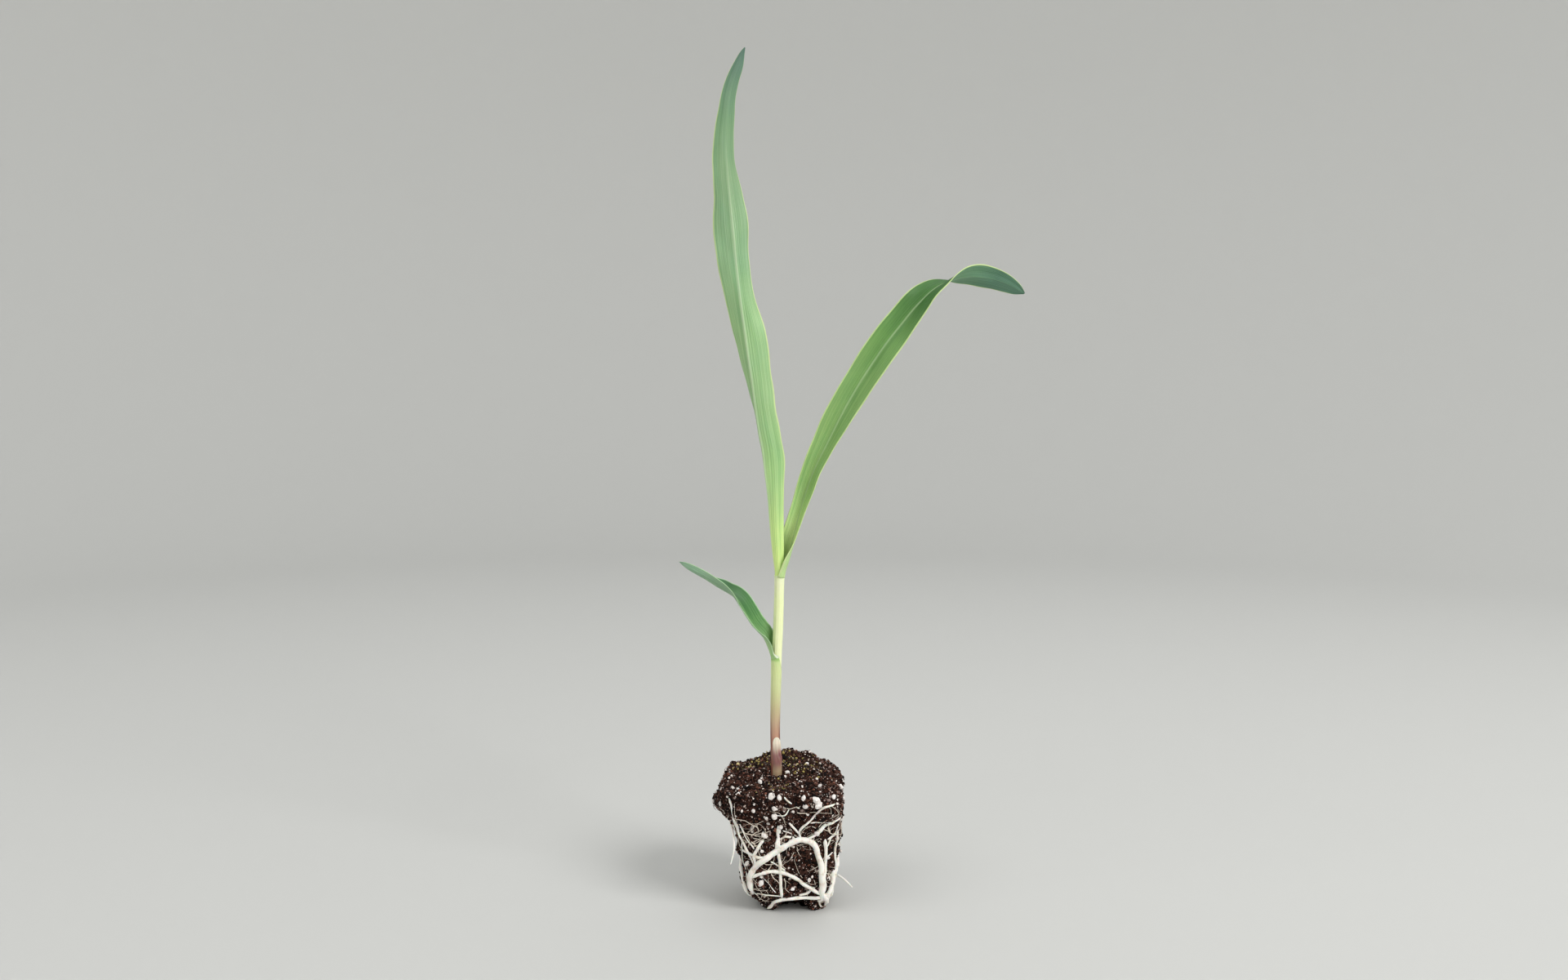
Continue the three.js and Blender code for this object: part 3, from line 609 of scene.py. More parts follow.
def add_leaves():
    """The three blades, each in place of its solid."""
    first = leaf_finish("old_leaf_tissue", FIRST_FACE, FIRST_BACK, "a3c48e", "a8c79c", 13.0,
                        collar_edge="edf2dc")
    second = leaf_finish("second_leaf_tissue", SECOND_FACE, SECOND_BACK, "bcd6a4", "c8dc98", 17.0, 0.7)
    third = leaf_finish("third_leaf_tissue", THIRD_FACE, THIRD_BACK, "dbe9c6", "cbdc9c", 17.0, 0.85)
    for node, material, slot, table, rows, half_columns, lamina, rib, lap, ruffle, seed in (
        ("first_leaf", first, "old_leaf", FIRST_LEAF, 150, 26, 0.24, 0.12, 0.04, 0.12, 11),
        ("second_leaf", second, "young_leaf", SECOND_LEAF, 330, 36, 0.26, 0.24, 0.06, 0.22, 12),
        ("third_leaf", third, "young_leaf", THIRD_LEAF, 380, 36, 0.28, 0.26, 0.08, 0.25, 13),
    ):
        piece = blade(node + "_blade", table, rows, half_columns, lamina, rib, lap, ruffle, seed)
        enter(piece, material, node)


# Stem

# Stations of a sheath: x, y, z, radius, and half the angle that it wraps, in degrees.
LOWER_SHEATH = [
    (-2.5, 0, 36, 1.42, 186), (-2.7, 0, 46, 1.45, 186), (-2.8, 0, 54, 1.47, 186),
    (-2.6, 0, 66, 1.55, 186), (-2.45, 0, 71, 1.6, 182), (-2.4, 0, 73, 1.64, 168),
    (-2.35, 0, 75.2, 1.68, 140), (-2.33, 0, 76.9, 1.74, 116),
]
UPPER_SHEATH = [
    (-2.45, 0, 66, 1.40, 187), (-2.35, 0, 72, 1.46, 187), (-2.2, 0, 78, 1.52, 187),
    (-1.85, 0, 85, 1.52, 187), (-1.6, 0, 93, 1.50, 187), (-1.45, 0, 99, 1.50, 187),
    (-1.4, 0, 101.2, 1.55, 187), (-1.38, 0, 102.5, 1.60, 187),
]
SHEATH_COLUMNS = 110
SHEATH_WALL = 0.16
SHEATH_LAP = 0.05
SHEATH_RIBS = {"height": 0.02, "rate": 40}
LIGULE_WALL = 0.09
# The sheaths' colours from the foot to the collar.
LOWER_COLOURS = {0.0: "9b7f63", 0.18: "b07966", 0.36: "c68f7a", 0.48: "c6a68a", 0.6: "cabd92",
                 0.76: "d2da9f", 0.9: "d5e3a1", 0.965: "cfe29d", 0.985: "9fc873", 1.0: "a6c97e"}
UPPER_COLOURS = {0.0: "f2fbbc", 0.35: "f4fcc2", 0.8: "f0fabd", 0.94: "f3f9ca", 1.0: "e4f2bc"}


def way_at(angle):
    """The level way out of the stem at an angle."""
    return np.stack([np.cos(angle), np.sin(angle), 0 * angle], -1)


def sheath(name, table, middle_angle, rows):
    """A sheath wrapped round the stem as a closed shell: an arc of the station's radius that reaches
    its half angle either way from the middle, where one edge laps over the other by a slow spiral."""
    along, values = stations(table, rows)
    across = np.linspace(-1, 1, SHEATH_COLUMNS)
    angle = np.radians(middle_angle + values[:, 4:5] * across)
    spiral = 1 + SHEATH_LAP * step(across, 0.4, 1.0) * step(values[:, 4:5], 150, 180)
    outer = values[:, 3:4] * spiral + SHEATH_RIBS["height"] * np.cos(across * SHEATH_RIBS["rate"])
    inner = outer - SHEATH_WALL * (1 - 0.8 * np.abs(across) ** 12)
    way = way_at(angle)
    centre = values[:, None, :3]
    u = np.mod(angle / (2 * np.pi), 1.0)
    uv = np.stack([u, np.broadcast_to(along[:, None], u.shape)], -1)
    return shell(name, centre + way * outer[..., None], centre + way * inner[..., None], uv)


def ligule(name, centre, radius, middle_angle, half_angle, height, seed):
    """The thin collar that stands up between blade and stem: a short arc of wall with a wavy upper
    edge, which leans out a little as it rises."""
    rows, columns = 14, 90
    rise = np.linspace(0, 1, rows)[:, None]
    across = np.linspace(-1, 1, columns)[None, :]
    angle = np.radians(middle_angle + half_angle * across)
    ragged = field(np.stack([across * 9, 0 * across, 0 * across], -1), 2.2, seed)
    top = height * (1 - 0.75 * across ** 4) * (1 + 0.18 * ragged)
    out = radius + 0.1 * rise + 0.03 * ragged * rise
    way = way_at(angle)
    lift = (top * rise)[..., None] * UP
    outer = np.array(centre) + way * out[..., None] + lift
    inner = np.array(centre) + way * (out - LIGULE_WALL * (1.05 - rise))[..., None] + lift
    return shell(name, outer, inner, uv_of(across, rise))


# The coleoptile: its heights, wall and inner radius, the angles of its left edge and of its right
# edge above and below, the heights between which it widens and then narrows, its peak's angle, and
# how far below its top it starts to round off.
COLEOPTILE = {"foot": 37.6, "top": 51.9, "wall": 0.34, "radius": 1.56, "left": -118.0,
              "right": (-26.0, 30.0), "widens": (47.0, 43.0), "narrows": (43.5, 39.5), "peak": -74.0,
              "rounding": 2.2}


def coleoptile():
    """The split sleeve at the stem's foot: an arc of wall between its two edges. Towards the round
    top the arc closes on its peak as the root of one minus the rise squared, and a little above
    the foot it swells, then draws in round the stem."""
    rows, columns = 90, 44
    foot, top, rounding = COLEOPTILE["foot"], COLEOPTILE["top"], COLEOPTILE["rounding"]
    rise = np.linspace(0, 1, rows)[:, None]
    z = foot + (top - foot) * np.sin(rise * np.pi / 2) ** 0.9
    across = np.linspace(-1, 1, columns)[None, :]
    peaked = np.clip((z - (top - rounding)) / rounding, 0, 1)
    draw = np.sqrt(np.maximum(1 - peaked ** 2, 0.0004))
    low, (high, wide) = COLEOPTILE["left"], COLEOPTILE["right"]
    high = high + (wide - high) * step(z, *COLEOPTILE["widens"])
    middle, reach = (low + high) / 2, (high - low) / 2
    narrow = 1 - 0.35 * step(z, *COLEOPTILE["narrows"]) * (across > 0)
    middle = middle + (COLEOPTILE["peak"] - middle) * (1 - draw)
    angle = np.radians(middle + reach * draw * across * narrow)
    x = np.interp(z, [46, 54], [-2.7, -2.8])
    swell = 0.14 * bump(z, 47.0, 3.2) + 0.05 * np.cos(across * 9 + z * 0.4)
    radius = COLEOPTILE["radius"] + swell + 0.2 * (1 - peaked) * step(across, 0.3, 1.0)
    wall = COLEOPTILE["wall"] * (1 - 0.7 * np.abs(across) ** 8) * (0.45 + 0.55 * draw)
    way = way_at(angle)
    centre = np.stack([x + 0 * across, 0 * angle, z + 0 * across], -1)
    inner = centre + way * radius[..., None]
    outer = inner + way * wall[..., None]
    return shell("coleoptile_sleeve", outer, inner, uv_of(across, (z - foot) / (top - foot)))


def add_stem():
    """Both sheaths, the coleoptile and the two ligules."""
    lower = sheath("lower_sheath_wrap", LOWER_SHEATH, 180, 150)
    enter(lower, stem_finish("lower_sheath_tissue", LOWER_COLOURS, True), "lower_sheath")
    upper = sheath("upper_sheath_wrap", UPPER_SHEATH, 30, 130)
    enter(upper, stem_finish("upper_sheath_tissue", UPPER_COLOURS, False), "upper_sheath")
    enter(coleoptile(), husk_finish(), "coleoptile")
    membrane = plain_finish("ligule_tissue", "dfe6c6", 0.5, Subsurface_Weight=0.2, Subsurface_Scale=0.5 * MM)
    for piece in (ligule("first_ligule", (-2.3, 0, 76.8), 1.62, 196, 108, 1.25, 21),
                  ligule("second_ligule", (-1.38, 0, 101.9), 1.56, 30, 130, 1.1, 22)):
        enter(piece, membrane)


# Root ball

# The plug of compost: sections of a rounded square, each its height, half width and shift along X.
PLUG_SECTIONS = np.array([
    (0, 9.6, 3.2), (2, 11, 2.6), (5, 13.2, 1.6), (12.5, 14.8, 1.4), (20, 15.7, 1.2), (28, 16.9, 0.8),
    (33, 18.2, 0), (38.6, 18.5, -0.7),
])
PLUG_RIM, TOP_HALF, TOP_SHIFT = PLUG_SECTIONS[-1]
PLUG_TOP = 40.7
TOP_FALL = 1.8
CORNER_POWER = 5
# Mounds on the top: each its place, height and spread.
MOUNDS = [(-4, 14.5, 3.2, 4.5), (3, 15, 2.8, 4.5), (9, 14.5, 3.6, 3.6)]
# The clump at the left: its middle, its reach along Y and Z, how far it hangs out, and the places
# along X between which it starts and is full.
CLUMP = {"at": (-18.4, -2.5, 32.2), "reach": (6.0, 3.6), "height": 5.0, "edge": (-13, -17)}
# The notch in the front of the foot: an ellipsoid's middle and reach, and its wall's roughness.
NOTCH = {"at": np.array([2.6, -14.6, 0.0]), "reach": np.array([6.6, 12.0, 5.0]), "rough": 0.08}
# The profile's points on the underside, the side and the top, and those at the foot and the rim.
FLAT_STEPS, SIDE_STEPS, TOP_STEPS = 60, 160, 900
FOOT = FLAT_STEPS - 1
RIM = FOOT + SIDE_STEPS - 1


def section(z):
    """The plug's half width and shift at a height."""
    return (np.interp(z, PLUG_SECTIONS[:, 0], PLUG_SECTIONS[:, i]) for i in (1, 2))


def top_height(x, y):
    """The height of the plug's top: a slow ripple, a fall towards the corners, and round mounds along
    its back."""
    fall = TOP_FALL * np.abs(x * y) / TOP_HALF ** 2
    ripple = 0.6 * np.sin(0.55 * x + 0.8) * np.cos(0.5 * y + 0.4)
    mounds = sum(height * np.exp(-((x - at_x) ** 2 + (y - at_y) ** 2) / spread ** 2)
                 for at_x, at_y, height, spread in MOUNDS)
    return PLUG_TOP + ripple - fall + mounds


def plug_profile():
    """The plug's profile from the middle of its underside to the middle of its top: the travel along
    it in millimetres, the share of the half width, the height and the share of the top's relief. The
    rim is rounded, as the height's share is the sine where the width's share is the cosine's fifth
    root."""
    flat = np.linspace(0, 1, FLAT_STEPS)
    side = np.linspace(0, 1, SIDE_STEPS)[1:]
    over = np.linspace(0, 1, TOP_STEPS)[1:]
    scale = np.concatenate([flat, np.ones(side.size), np.cos(over * np.pi / 2) ** (1 / CORNER_POWER)])
    z = np.concatenate([0 * flat, side * PLUG_RIM, np.full(over.size, PLUG_RIM)])
    share = np.concatenate([np.zeros(flat.size + side.size), np.sin(over * np.pi / 2)])
    half, _ = section(z)
    line = np.stack([scale * half, z + share * (PLUG_TOP - PLUG_RIM)], -1)
    travel = np.concatenate([[0], np.cumsum(np.linalg.norm(np.diff(line, axis=0), axis=1))])
    return travel, scale, z, share


TRAVEL, SCALE, HEIGHT, SHARE = plug_profile()
FOOT_TRAVEL, RIM_TRAVEL, WHOLE_TRAVEL = TRAVEL[FOOT], TRAVEL[RIM], TRAVEL[-1]


def plug_at(angle, travel):
    """A point on the plug: the profile's place for travel, turned to angle round a square whose
    corners are rounded by a power of five, with slow lumps that ride round it."""
    scale, z, share = (np.interp(travel, TRAVEL, table) for table in (SCALE, HEIGHT, SHARE))
    half, shift = section(z)
    square = np.abs(np.cos(angle)) ** CORNER_POWER + np.abs(np.sin(angle)) ** CORNER_POWER
    lump = np.sin(5 * angle + 0.4 * z) + np.sin(9 * angle - 0.7 * z + 1)
    rough = 1 + 0.018 * lump * np.minimum(z / 12, 0.6)
    radius = half * scale * square ** (-1 / CORNER_POWER) * rough
    x, y = shift + radius * np.cos(angle), radius * np.sin(angle)
    return np.stack([x, y, z + share * (top_height(x, y) - z)], -1)


# The steps in angle and travel over which the plug's slope is taken.
SLOPE_TURN, SLOPE_TRAVEL = 0.02, 0.3


def plug_normal(angle, travel):
    """The way out of the plug at a point: the cross product of its changes with angle and travel."""
    turn = plug_at(angle + SLOPE_TURN, travel) - plug_at(angle - SLOPE_TURN, travel)
    low = np.clip(travel - SLOPE_TRAVEL, 0, WHOLE_TRAVEL)
    high = np.clip(travel + SLOPE_TRAVEL, 0, WHOLE_TRAVEL)
    return unit(np.cross(turn, plug_at(angle, high) - plug_at(angle, low)))


def on_plug(angle, travel):
    """A point on the plug and the way out of it there."""
    return plug_at(angle, travel), plug_normal(angle, travel)


def places_of(points):
    """The angle and travel of points on the plug's sides, from their heights."""
    _, shift = section(points[..., 2])
    angle = np.arctan2(points[..., 1], points[..., 0] - shift)
    side = slice(FOOT, RIM + 1)
    return angle, np.interp(points[..., 2], HEIGHT[side], TRAVEL[side])


def top_places(x, y):
    """The angle and travel of places on the plug's top, from the share of the rim's radius there."""
    angle = np.arctan2(y, x - TOP_SHIFT)
    rim = plug_at(angle, np.full(angle.shape, RIM_TRAVEL))
    share = np.hypot(x - TOP_SHIFT, y) / np.hypot(rim[:, 0] - TOP_SHIFT, rim[:, 1])
    return angle, np.interp(-share, -SCALE[RIM:], TRAVEL[RIM:])


PAIRS_AT_ONCE = 8_000_000


def nearest(points, centres):
    """The distance from each point to the nearest centre, and that centre's index, worked out in
    parts that fit the memory."""
    distance, index = [], []
    for part in np.array_split(points, max(1, len(points) * len(centres) // PAIRS_AT_ONCE)):
        square = (part ** 2).sum(-1)[:, None] - 2 * part @ centres.T + (centres ** 2).sum(-1)
        closest = square.argmin(1)
        index.append(closest)
        distance.append(np.sqrt(np.maximum(square[np.arange(len(part)), closest], 0)))
    return np.concatenate(distance), np.concatenate(index)


# Grains lie between these travels. More places are tried than are kept, each kept by its distance
# from the plug's middle as a share of the farthest corner's.
LOWEST_GRAIN, HIGHEST_GRAIN = 10, 68
TRIES = 4
FARTHEST = 24


def scatter(count, seed, lowest=LOWEST_GRAIN, highest=HIGHEST_GRAIN):
    """Random places on the plug, even over its surface: angle and travel, kept by their radius."""
    rng = np.random.default_rng(seed)
    tries = count * TRIES
    travel = rng.uniform(lowest, highest, tries)
    angle = rng.uniform(0, 2 * np.pi, tries)
    centre = plug_at(angle, travel)
    kept = np.hypot(centre[:, 0], centre[:, 1]) > rng.uniform(0, FARTHEST, tries)
    return angle[kept][:count], travel[kept][:count]


def domes(count, reach, height, seed):
    """Rounded crumbs on the plug: their centres, and each one's reach and height."""
    size = np.random.default_rng(seed + 50).uniform(0.55, 1.25, count)
    return plug_at(*scatter(count, seed)), reach * size, height * size


# Large and small crumbs. Their bed lies this much under the plug's surface, and a gap between them
# falls no lower than this share of a crumb's height.
CRUMBS = [domes(800, 2.3, 0.9, 33), domes(6500, 0.85, 0.42, 34)]
CRUMB_BED = -0.95
CRUMB_GAP = -0.35


def crumble(base, near_root=0.0):
    """How far the compost stands out from the plug at base: slow swells, a clump on the left, and
    rounded crumbs of two sizes, each a dome about its own centre. It lies flat underneath, and the
    crumbs are pressed in where a root crosses them."""
    swell = 0.45 * field(base, 11.0, 31) + 0.25 * field(base, 5.0, 32) - 0.25
    at, reach = CLUMP["at"], CLUMP["reach"]
    clump = np.exp(-((base[:, 1] - at[1]) / reach[0]) ** 2 - ((base[:, 2] - at[2]) / reach[1]) ** 2)
    clump = CLUMP["height"] * clump * step(base[:, 0], *CLUMP["edge"])
    rough = CRUMB_BED
    for centres, wide, high in CRUMBS:
        away, index = nearest(base, centres)
        rough = rough + high[index] * np.maximum(1 - (away / wide[index]) ** 2, CRUMB_GAP)
    loose = 0.15 + 0.85 * step(near_root, 0.4, 1.6)
    return (swell + clump + rough * loose) * step(base[:, 2], 0.2, 4.0)


def notched(points):
    """Points inside the notch in the plug's foot, moved straight out from its middle to its wall."""
    inside = (points - NOTCH["at"]) / NOTCH["reach"]
    away = np.linalg.norm(inside, axis=-1, keepdims=True)
    wall = 1 + NOTCH["rough"] * field(points.reshape(-1, 3), 1.6, 35).reshape(away.shape)
    return np.where(away < 1, NOTCH["at"] + NOTCH["reach"] * inside * wall / np.maximum(away, 0.05), points)


# A grain is an icosahedron's corners and sides, or its sides split in four.
GOLDEN = (1 + math.sqrt(5)) / 2
GRAIN_CORNERS = unit(np.array([
    (-1, GOLDEN, 0), (1, GOLDEN, 0), (-1, -GOLDEN, 0), (1, -GOLDEN, 0), (0, -1, GOLDEN), (0, 1, GOLDEN),
    (0, -1, -GOLDEN), (0, 1, -GOLDEN), (GOLDEN, 0, -1), (GOLDEN, 0, 1), (-GOLDEN, 0, -1), (-GOLDEN, 0, 1),
]))
GRAIN_SIDES = np.array([
    (0, 11, 5), (0, 5, 1), (0, 1, 7), (0, 7, 10), (0, 10, 11), (1, 5, 9), (5, 11, 4), (11, 10, 2),
    (10, 7, 6), (7, 1, 8), (3, 9, 4), (3, 4, 2), (3, 2, 6), (3, 6, 8), (3, 8, 9), (4, 9, 5), (2, 4, 11),
    (6, 2, 10), (8, 6, 7), (9, 8, 1),
])


def split_sides(corners, sides):
    """Each triangle of a ball as four, by its edges' middles put out on the ball."""
    middles = unit(np.stack([corners[sides[:, [0, 1]]].mean(1), corners[sides[:, [1, 2]]].mean(1),
                             corners[sides[:, [2, 0]]].mean(1)], 1))
    count = len(sides)
    points = np.concatenate([corners[sides].reshape(-1, 3), middles.reshape(-1, 3)])
    a, b, c = (np.arange(count) * 3 + i for i in range(3))
    ab, bc, ca = (3 * count + np.arange(count) * 3 + i for i in range(3))
    fine = np.concatenate([np.stack(t, -1) for t in ((a, ab, ca), (b, bc, ab), (c, ca, bc), (ab, bc, ca))])
    same, back = np.unique(points.round(6), axis=0, return_inverse=True)
    return same, back.ravel()[fine]


FINE_CORNERS, FINE_SIDES = split_sides(GRAIN_CORNERS, GRAIN_SIDES)


def ground(base, out, tracks, clear=0.0):
    """Places on the compost for grains: the plug's points there, the ways out, and how far the
    compost stands out. Those closer than clear to a root's track are left out."""
    away = nearest(base, tracks)[0]
    kept = away > clear
    return base[kept], out[kept], crumble(base[kept], away[kept])


def grains(places, sizes, seed, stretch, sunk=0.1, flat=0.75, fine=False):
    """Points and faces of small irregular grains on the compost: a ball each, with its corners at
    random distances from the middle, stretched, turned at random and flattened along the way out."""
    base, out, lift = places
    corners, sides = (FINE_CORNERS, FINE_SIDES) if fine else (GRAIN_CORNERS, GRAIN_SIDES)
    rng = np.random.default_rng(seed)
    count = len(base)
    turn = np.linalg.qr(rng.normal(size=(count, 3, 3)))[0]
    turn = turn * np.sign(np.linalg.det(turn))[:, None, None]
    scale = rng.uniform(*stretch, (count, 1, 3))
    rough = 1 + rng.uniform(-0.16, 0.16, (count, len(corners), 1))
    shape = (corners * rough * scale) @ turn
    rise = (shape * out[:, None]).sum(-1, keepdims=True)
    shape = shape - (1 - flat) * rise * out[:, None]
    sizes = np.asarray(sizes)[:, None]
    centre = base + out * (lift[:, None] + (0.5 - sunk) * sizes)
    points = notched(centre)[:, None] + shape * sizes[..., None]
    faces = sides[None] + (np.arange(count) * len(corners))[:, None, None]
    return points.reshape(-1, 3), [faces.reshape(-1, 3)]


def joined(parts):
    """Several pairs of points and faces as one."""
    shifts = np.cumsum([0] + [len(points) for points, faces in parts])
    points = np.concatenate([points for points, faces in parts])
    faces = [side + shift for (_, sides), shift in zip(parts, shifts) for side in sides]
    return points, faces


# Roots on the front of the plug: each its width and its route as x and z over the surface.
FRONT_ROOTS = [
    (1.8, [(11.5, 4.2), (11.3, 12.8), (10.2, 20.6), (8.2, 23.8), (4.9, 24.6), (0.4, 22.6), (-4.4, 19.4),
           (-8.8, 15.6), (-10.3, 11.6), (-9.6, 6.2)]),
    (1.2, [(-9.6, 12.2), (-6.6, 13.9), (-1, 13.8), (4.2, 11.8), (8.4, 8.4), (11.7, 6.2)]),
    (1.0, [(-1.9, 29), (-1.5, 21.5), (-1.1, 14), (-0.7, 5.6)]),
    (1.1, [(-5, 0.6), (-4.2, 1.6), (-2.4, 3.9), (0, 5), (4.7, 5.3), (9.4, 5.2), (11.6, 5.6)]),
    (1.1, [(12.4, 24.7), (12.6, 19.9), (12.4, 12), (12.0, 6.4)]),
    (0.7, [(5.1, 24.5), (4.6, 26.6), (8.3, 31), (12.4, 35.3), (15.1, 35.7)]),
    (0.6, [(4.8, 26), (3.3, 28.2), (1.6, 30.2)]),
    (0.8, [(6.3, 24.2), (9.7, 26.2), (13.5, 29.4), (16.7, 30.6)]),
    (1.0, [(-6, 24.3), (-8.5, 20.6), (-8.9, 15.5)]),
    (0.9, [(-12.9, 20.6), (-8.9, 19), (-5, 18.9)]),
    (0.7, [(-17.1, 37), (-14.9, 31), (-12.3, 23.1), (-9.3, 15.5)]),
    (1.5, [(11.6, 6.6), (12.6, 4.6), (13, 2.2)]),
]
# Thinner roots between them, in the same way.
FRONT_THREADS = [
    (0.5, [(-14.9, 31.5), (-14, 29.3), (-13, 24.6), (-12.5, 19.5)]),
    (0.45, [(-12.7, 29.5), (-11.3, 24.6), (-9.1, 21.2)]),
    (0.9, [(-2.1, 21.4), (-2.1, 25.1), (-1.4, 28.9)]),
    (0.7, [(-1.4, 24.3), (0.3, 25.6), (1.9, 25.3), (4.5, 24.6)]),
    (0.4, [(-0.4, 27.3), (2.4, 26.4), (4.5, 25.1)]),
    (0.45, [(7.9, 30), (10.9, 30.2), (14.1, 30), (16.6, 30.4)]),
    (0.7, [(9.4, 26), (10.9, 28.1), (12.8, 29.6)]),
    (0.55, [(13.2, 24.4), (15.2, 25.6), (16.4, 28.8)]),
    (0.5, [(12.9, 21.5), (14.6, 24.6), (16.3, 26.4)]),
    (0.4, [(13, 18.4), (15.2, 19.4)]),
    (0.8, [(16.1, 27), (15.9, 20), (15.6, 14), (15.2, 10.5)]),
    (1.4, [(15.4, 13.6), (14.8, 10.2), (13.6, 7.4), (12, 5.2)]),
    (1.0, [(15.3, 10), (13.8, 6.6), (12.2, 4.9), (10.3, 3.8)]),
    (0.8, [(14.6, 8.6), (13.6, 5), (12.9, 2.6), (12.4, 1)]),
    (0.6, [(11.6, 5.8), (11, 3.4), (11.3, 1.2)]),
    (0.4, [(-9.3, 6.4), (-4.9, 6.2), (-1.0, 6.1)]),
    (0.3, [(-6.6, 12.4), (-4.9, 10.1), (-2.3, 7.3)]),
    (0.8, [(4.6, 6.2), (7.1, 7), (9.3, 9.2)]),
    (0.5, [(-4, 17.6), (-1.4, 15.7), (0.4, 14.4)]),
    (0.5, [(-13.6, 20.7), (-13.2, 16.3), (-12.4, 13.6), (-10.4, 8), (-8.3, 5.6)]),
    (0.5, [(0.4, 38.4), (2, 36.6), (4.6, 34.8)]),
    (0.4, [(-3, 32.6), (0, 32.9), (2.1, 35.8)]),
]
# Roots on the other sides: an arch of a half span and top, and an upright that reaches above it. An
# arch's feet stand at the height of SIDE_FOOT.
SIDE_ROOTS = {
    "right": {"turn": 90, "span": 8.8, "top": 20, "upright": -3.5, "reach": 30, "width": 1.3},
    "back": {"turn": 180, "span": 9.2, "top": 26, "upright": 4, "reach": 33, "width": 1.5},
    "left": {"turn": -90, "span": 8.5, "top": 17, "upright": 2.5, "reach": 27, "width": 1.2},
}
SIDE_FOOT = 4
# Roots that leave the plug: each its width and its route in space.
LOOSE_ROOTS = {
    "left": (0.8, [(-16.9, -9, 29.5), (-15.6, -12.9, 26), (-15.1, -14.6, 21.3), (-16.1, -15.2, 16.6)]),
    "right": (0.7, [(16.7, -5.2, 9.4), (18, -5.9, 8.8), (19.6, -6.9, 7.8), (21.1, -8, 6.6)]),
}
ROOT_STEPS = 60
# How far a root's middle stands off the compost, as a share of its width, and how far it wanders.
ROOT_PROUD = 0.22
ROOT_WANDER = 0.2


def side_roots(net):
    """The roots of a plain side, worked out from its arch: the arch, a foot root that ties its ends,
    an upright that runs on above it, and a root that crosses it."""
    span, top, upright, width = net["span"], net["top"], net["upright"], net["width"]
    arch = [(-span, SIDE_FOOT), (-span - 0.6, 0.55 * top), (-0.6 * span, 0.9 * top), (0.2 * span, top),
            (0.9 * span, 0.75 * top), (span, SIDE_FOOT)]
    rise = [(upright, SIDE_FOOT + 1.2), (upright + 1, 0.6 * top), (upright - 1, net["reach"])]
    return [
        (width, arch),
        (0.9 * width, [(-span, SIDE_FOOT), (0, SIDE_FOOT + 1.4), (span, SIDE_FOOT)]),
        (0.7 * width, rise),
        (0.75 * width, [(-span - 0.2, 0.4 * top), (0, 0.55 * top), (span, 0.3 * top)]),
    ]


def on_side(turn, along, z):
    """A point on the plug's side and the way out of it there: along is measured across the side from
    the line above the origin, and turn, in degrees, is the side's turn from the front."""
    c, s = math.cos(math.radians(turn)), math.sin(math.radians(turn))
    half, shift = section(z)
    beside = along - shift * c
    across = np.minimum(np.abs(beside) / half, 0.99)
    out = half * (1 - across ** CORNER_POWER) ** (1 / CORNER_POWER)
    lean = np.stack([np.sign(beside) * across ** 4, -(out / half) ** 4, 0 * out], -1)
    spin = np.array([(c, s, 0), (-s, c, 0), (0, 0, 1)])
    place = np.stack([beside, -out, z], -1) @ spin
    return place + np.stack([shift, 0 * shift, 0 * shift], -1), unit(lean @ spin)


def root_line(turn, width, route, seed):
    """A root's line over a side of the plug, its radius and the way out along it. The line is the
    route's spline, which lies half sunk in the compost and wanders a little. The radius is half the
    width, a little uneven, and drawn in at both ends."""
    t, flat = stations(route, ROOT_STEPS)
    base, out = on_side(turn, flat[:, 0], flat[:, 1])
    wander = ROOT_WANDER * field(base, 5.0, seed)[:, None] * np.cross(out, UP)
    line = notched(base + out * (crumble(base) + ROOT_PROUD * width)[:, None] + wander)
    uneven = 1 + 0.1 * field(base, 3.0, seed + 1)
    ends = np.minimum(1, np.minimum(t, 1 - t) * 12 + 0.35)
    return line, width / 2 * uneven * ends, out


# The plug's mean radius, which makes a fine root's way round it an angle, and how far such roots
# keep from the middle of its top.
MEAN_RADIUS = 16
TOP_CLEAR = 9


def creeping_roots(angle, travel, seed, long, wide, steps=18, loose=0.0):
    """Fine roots that creep over the plug from their starts: each heads mostly up or down, bends one
    way as it goes, and drifts by a running sum of small random turns. Its travel and angle follow
    the heading. Some of their tips stand clear of the compost by up to loose. None crosses the notch
    or comes near the stem."""
    rng = np.random.default_rng(seed)
    count = len(angle)
    heading = rng.choice([-0.5, 0.5], count)[:, None] * np.pi + rng.normal(0, 0.9, (count, 1))
    bend = rng.normal(0, 1.1, (count, 1)) * np.linspace(0, 1, steps)
    heading = heading + bend + np.cumsum(rng.normal(0, 0.2, (count, steps)), 1)
    pace = rng.uniform(*long, (count, 1)) / steps
    travel = travel[:, None] + np.cumsum(pace * np.sin(heading), 1)
    angle = angle[:, None] + np.cumsum(pace * np.cos(heading), 1) / MEAN_RADIUS
    travel = np.clip(travel, FOOT_TRAVEL + 0.5, WHOLE_TRAVEL - TOP_CLEAR)
    t = np.linspace(0, 1, steps)
    radius = rng.uniform(*wide, (count, 1)) / 2 * (1 - 0.65 * t)
    base, out = on_plug(angle, travel)
    lift = crumble(base.reshape(-1, 3)).reshape(count, steps) + 0.5 * radius
    lift = lift + loose * rng.uniform(0, 1, (count, 1)) ** 5 * t ** 2 + 0.15
    line = base + out * lift[..., None]
    clear = (np.linalg.norm((line - NOTCH["at"]) / NOTCH["reach"], axis=-1) > 1).all(1)
    return line[clear], radius[clear], out[clear]


def stacked(lines):
    """Lines, radii and ways out of several roots as arrays."""
    return tuple(np.stack(column) for column in zip(*lines))


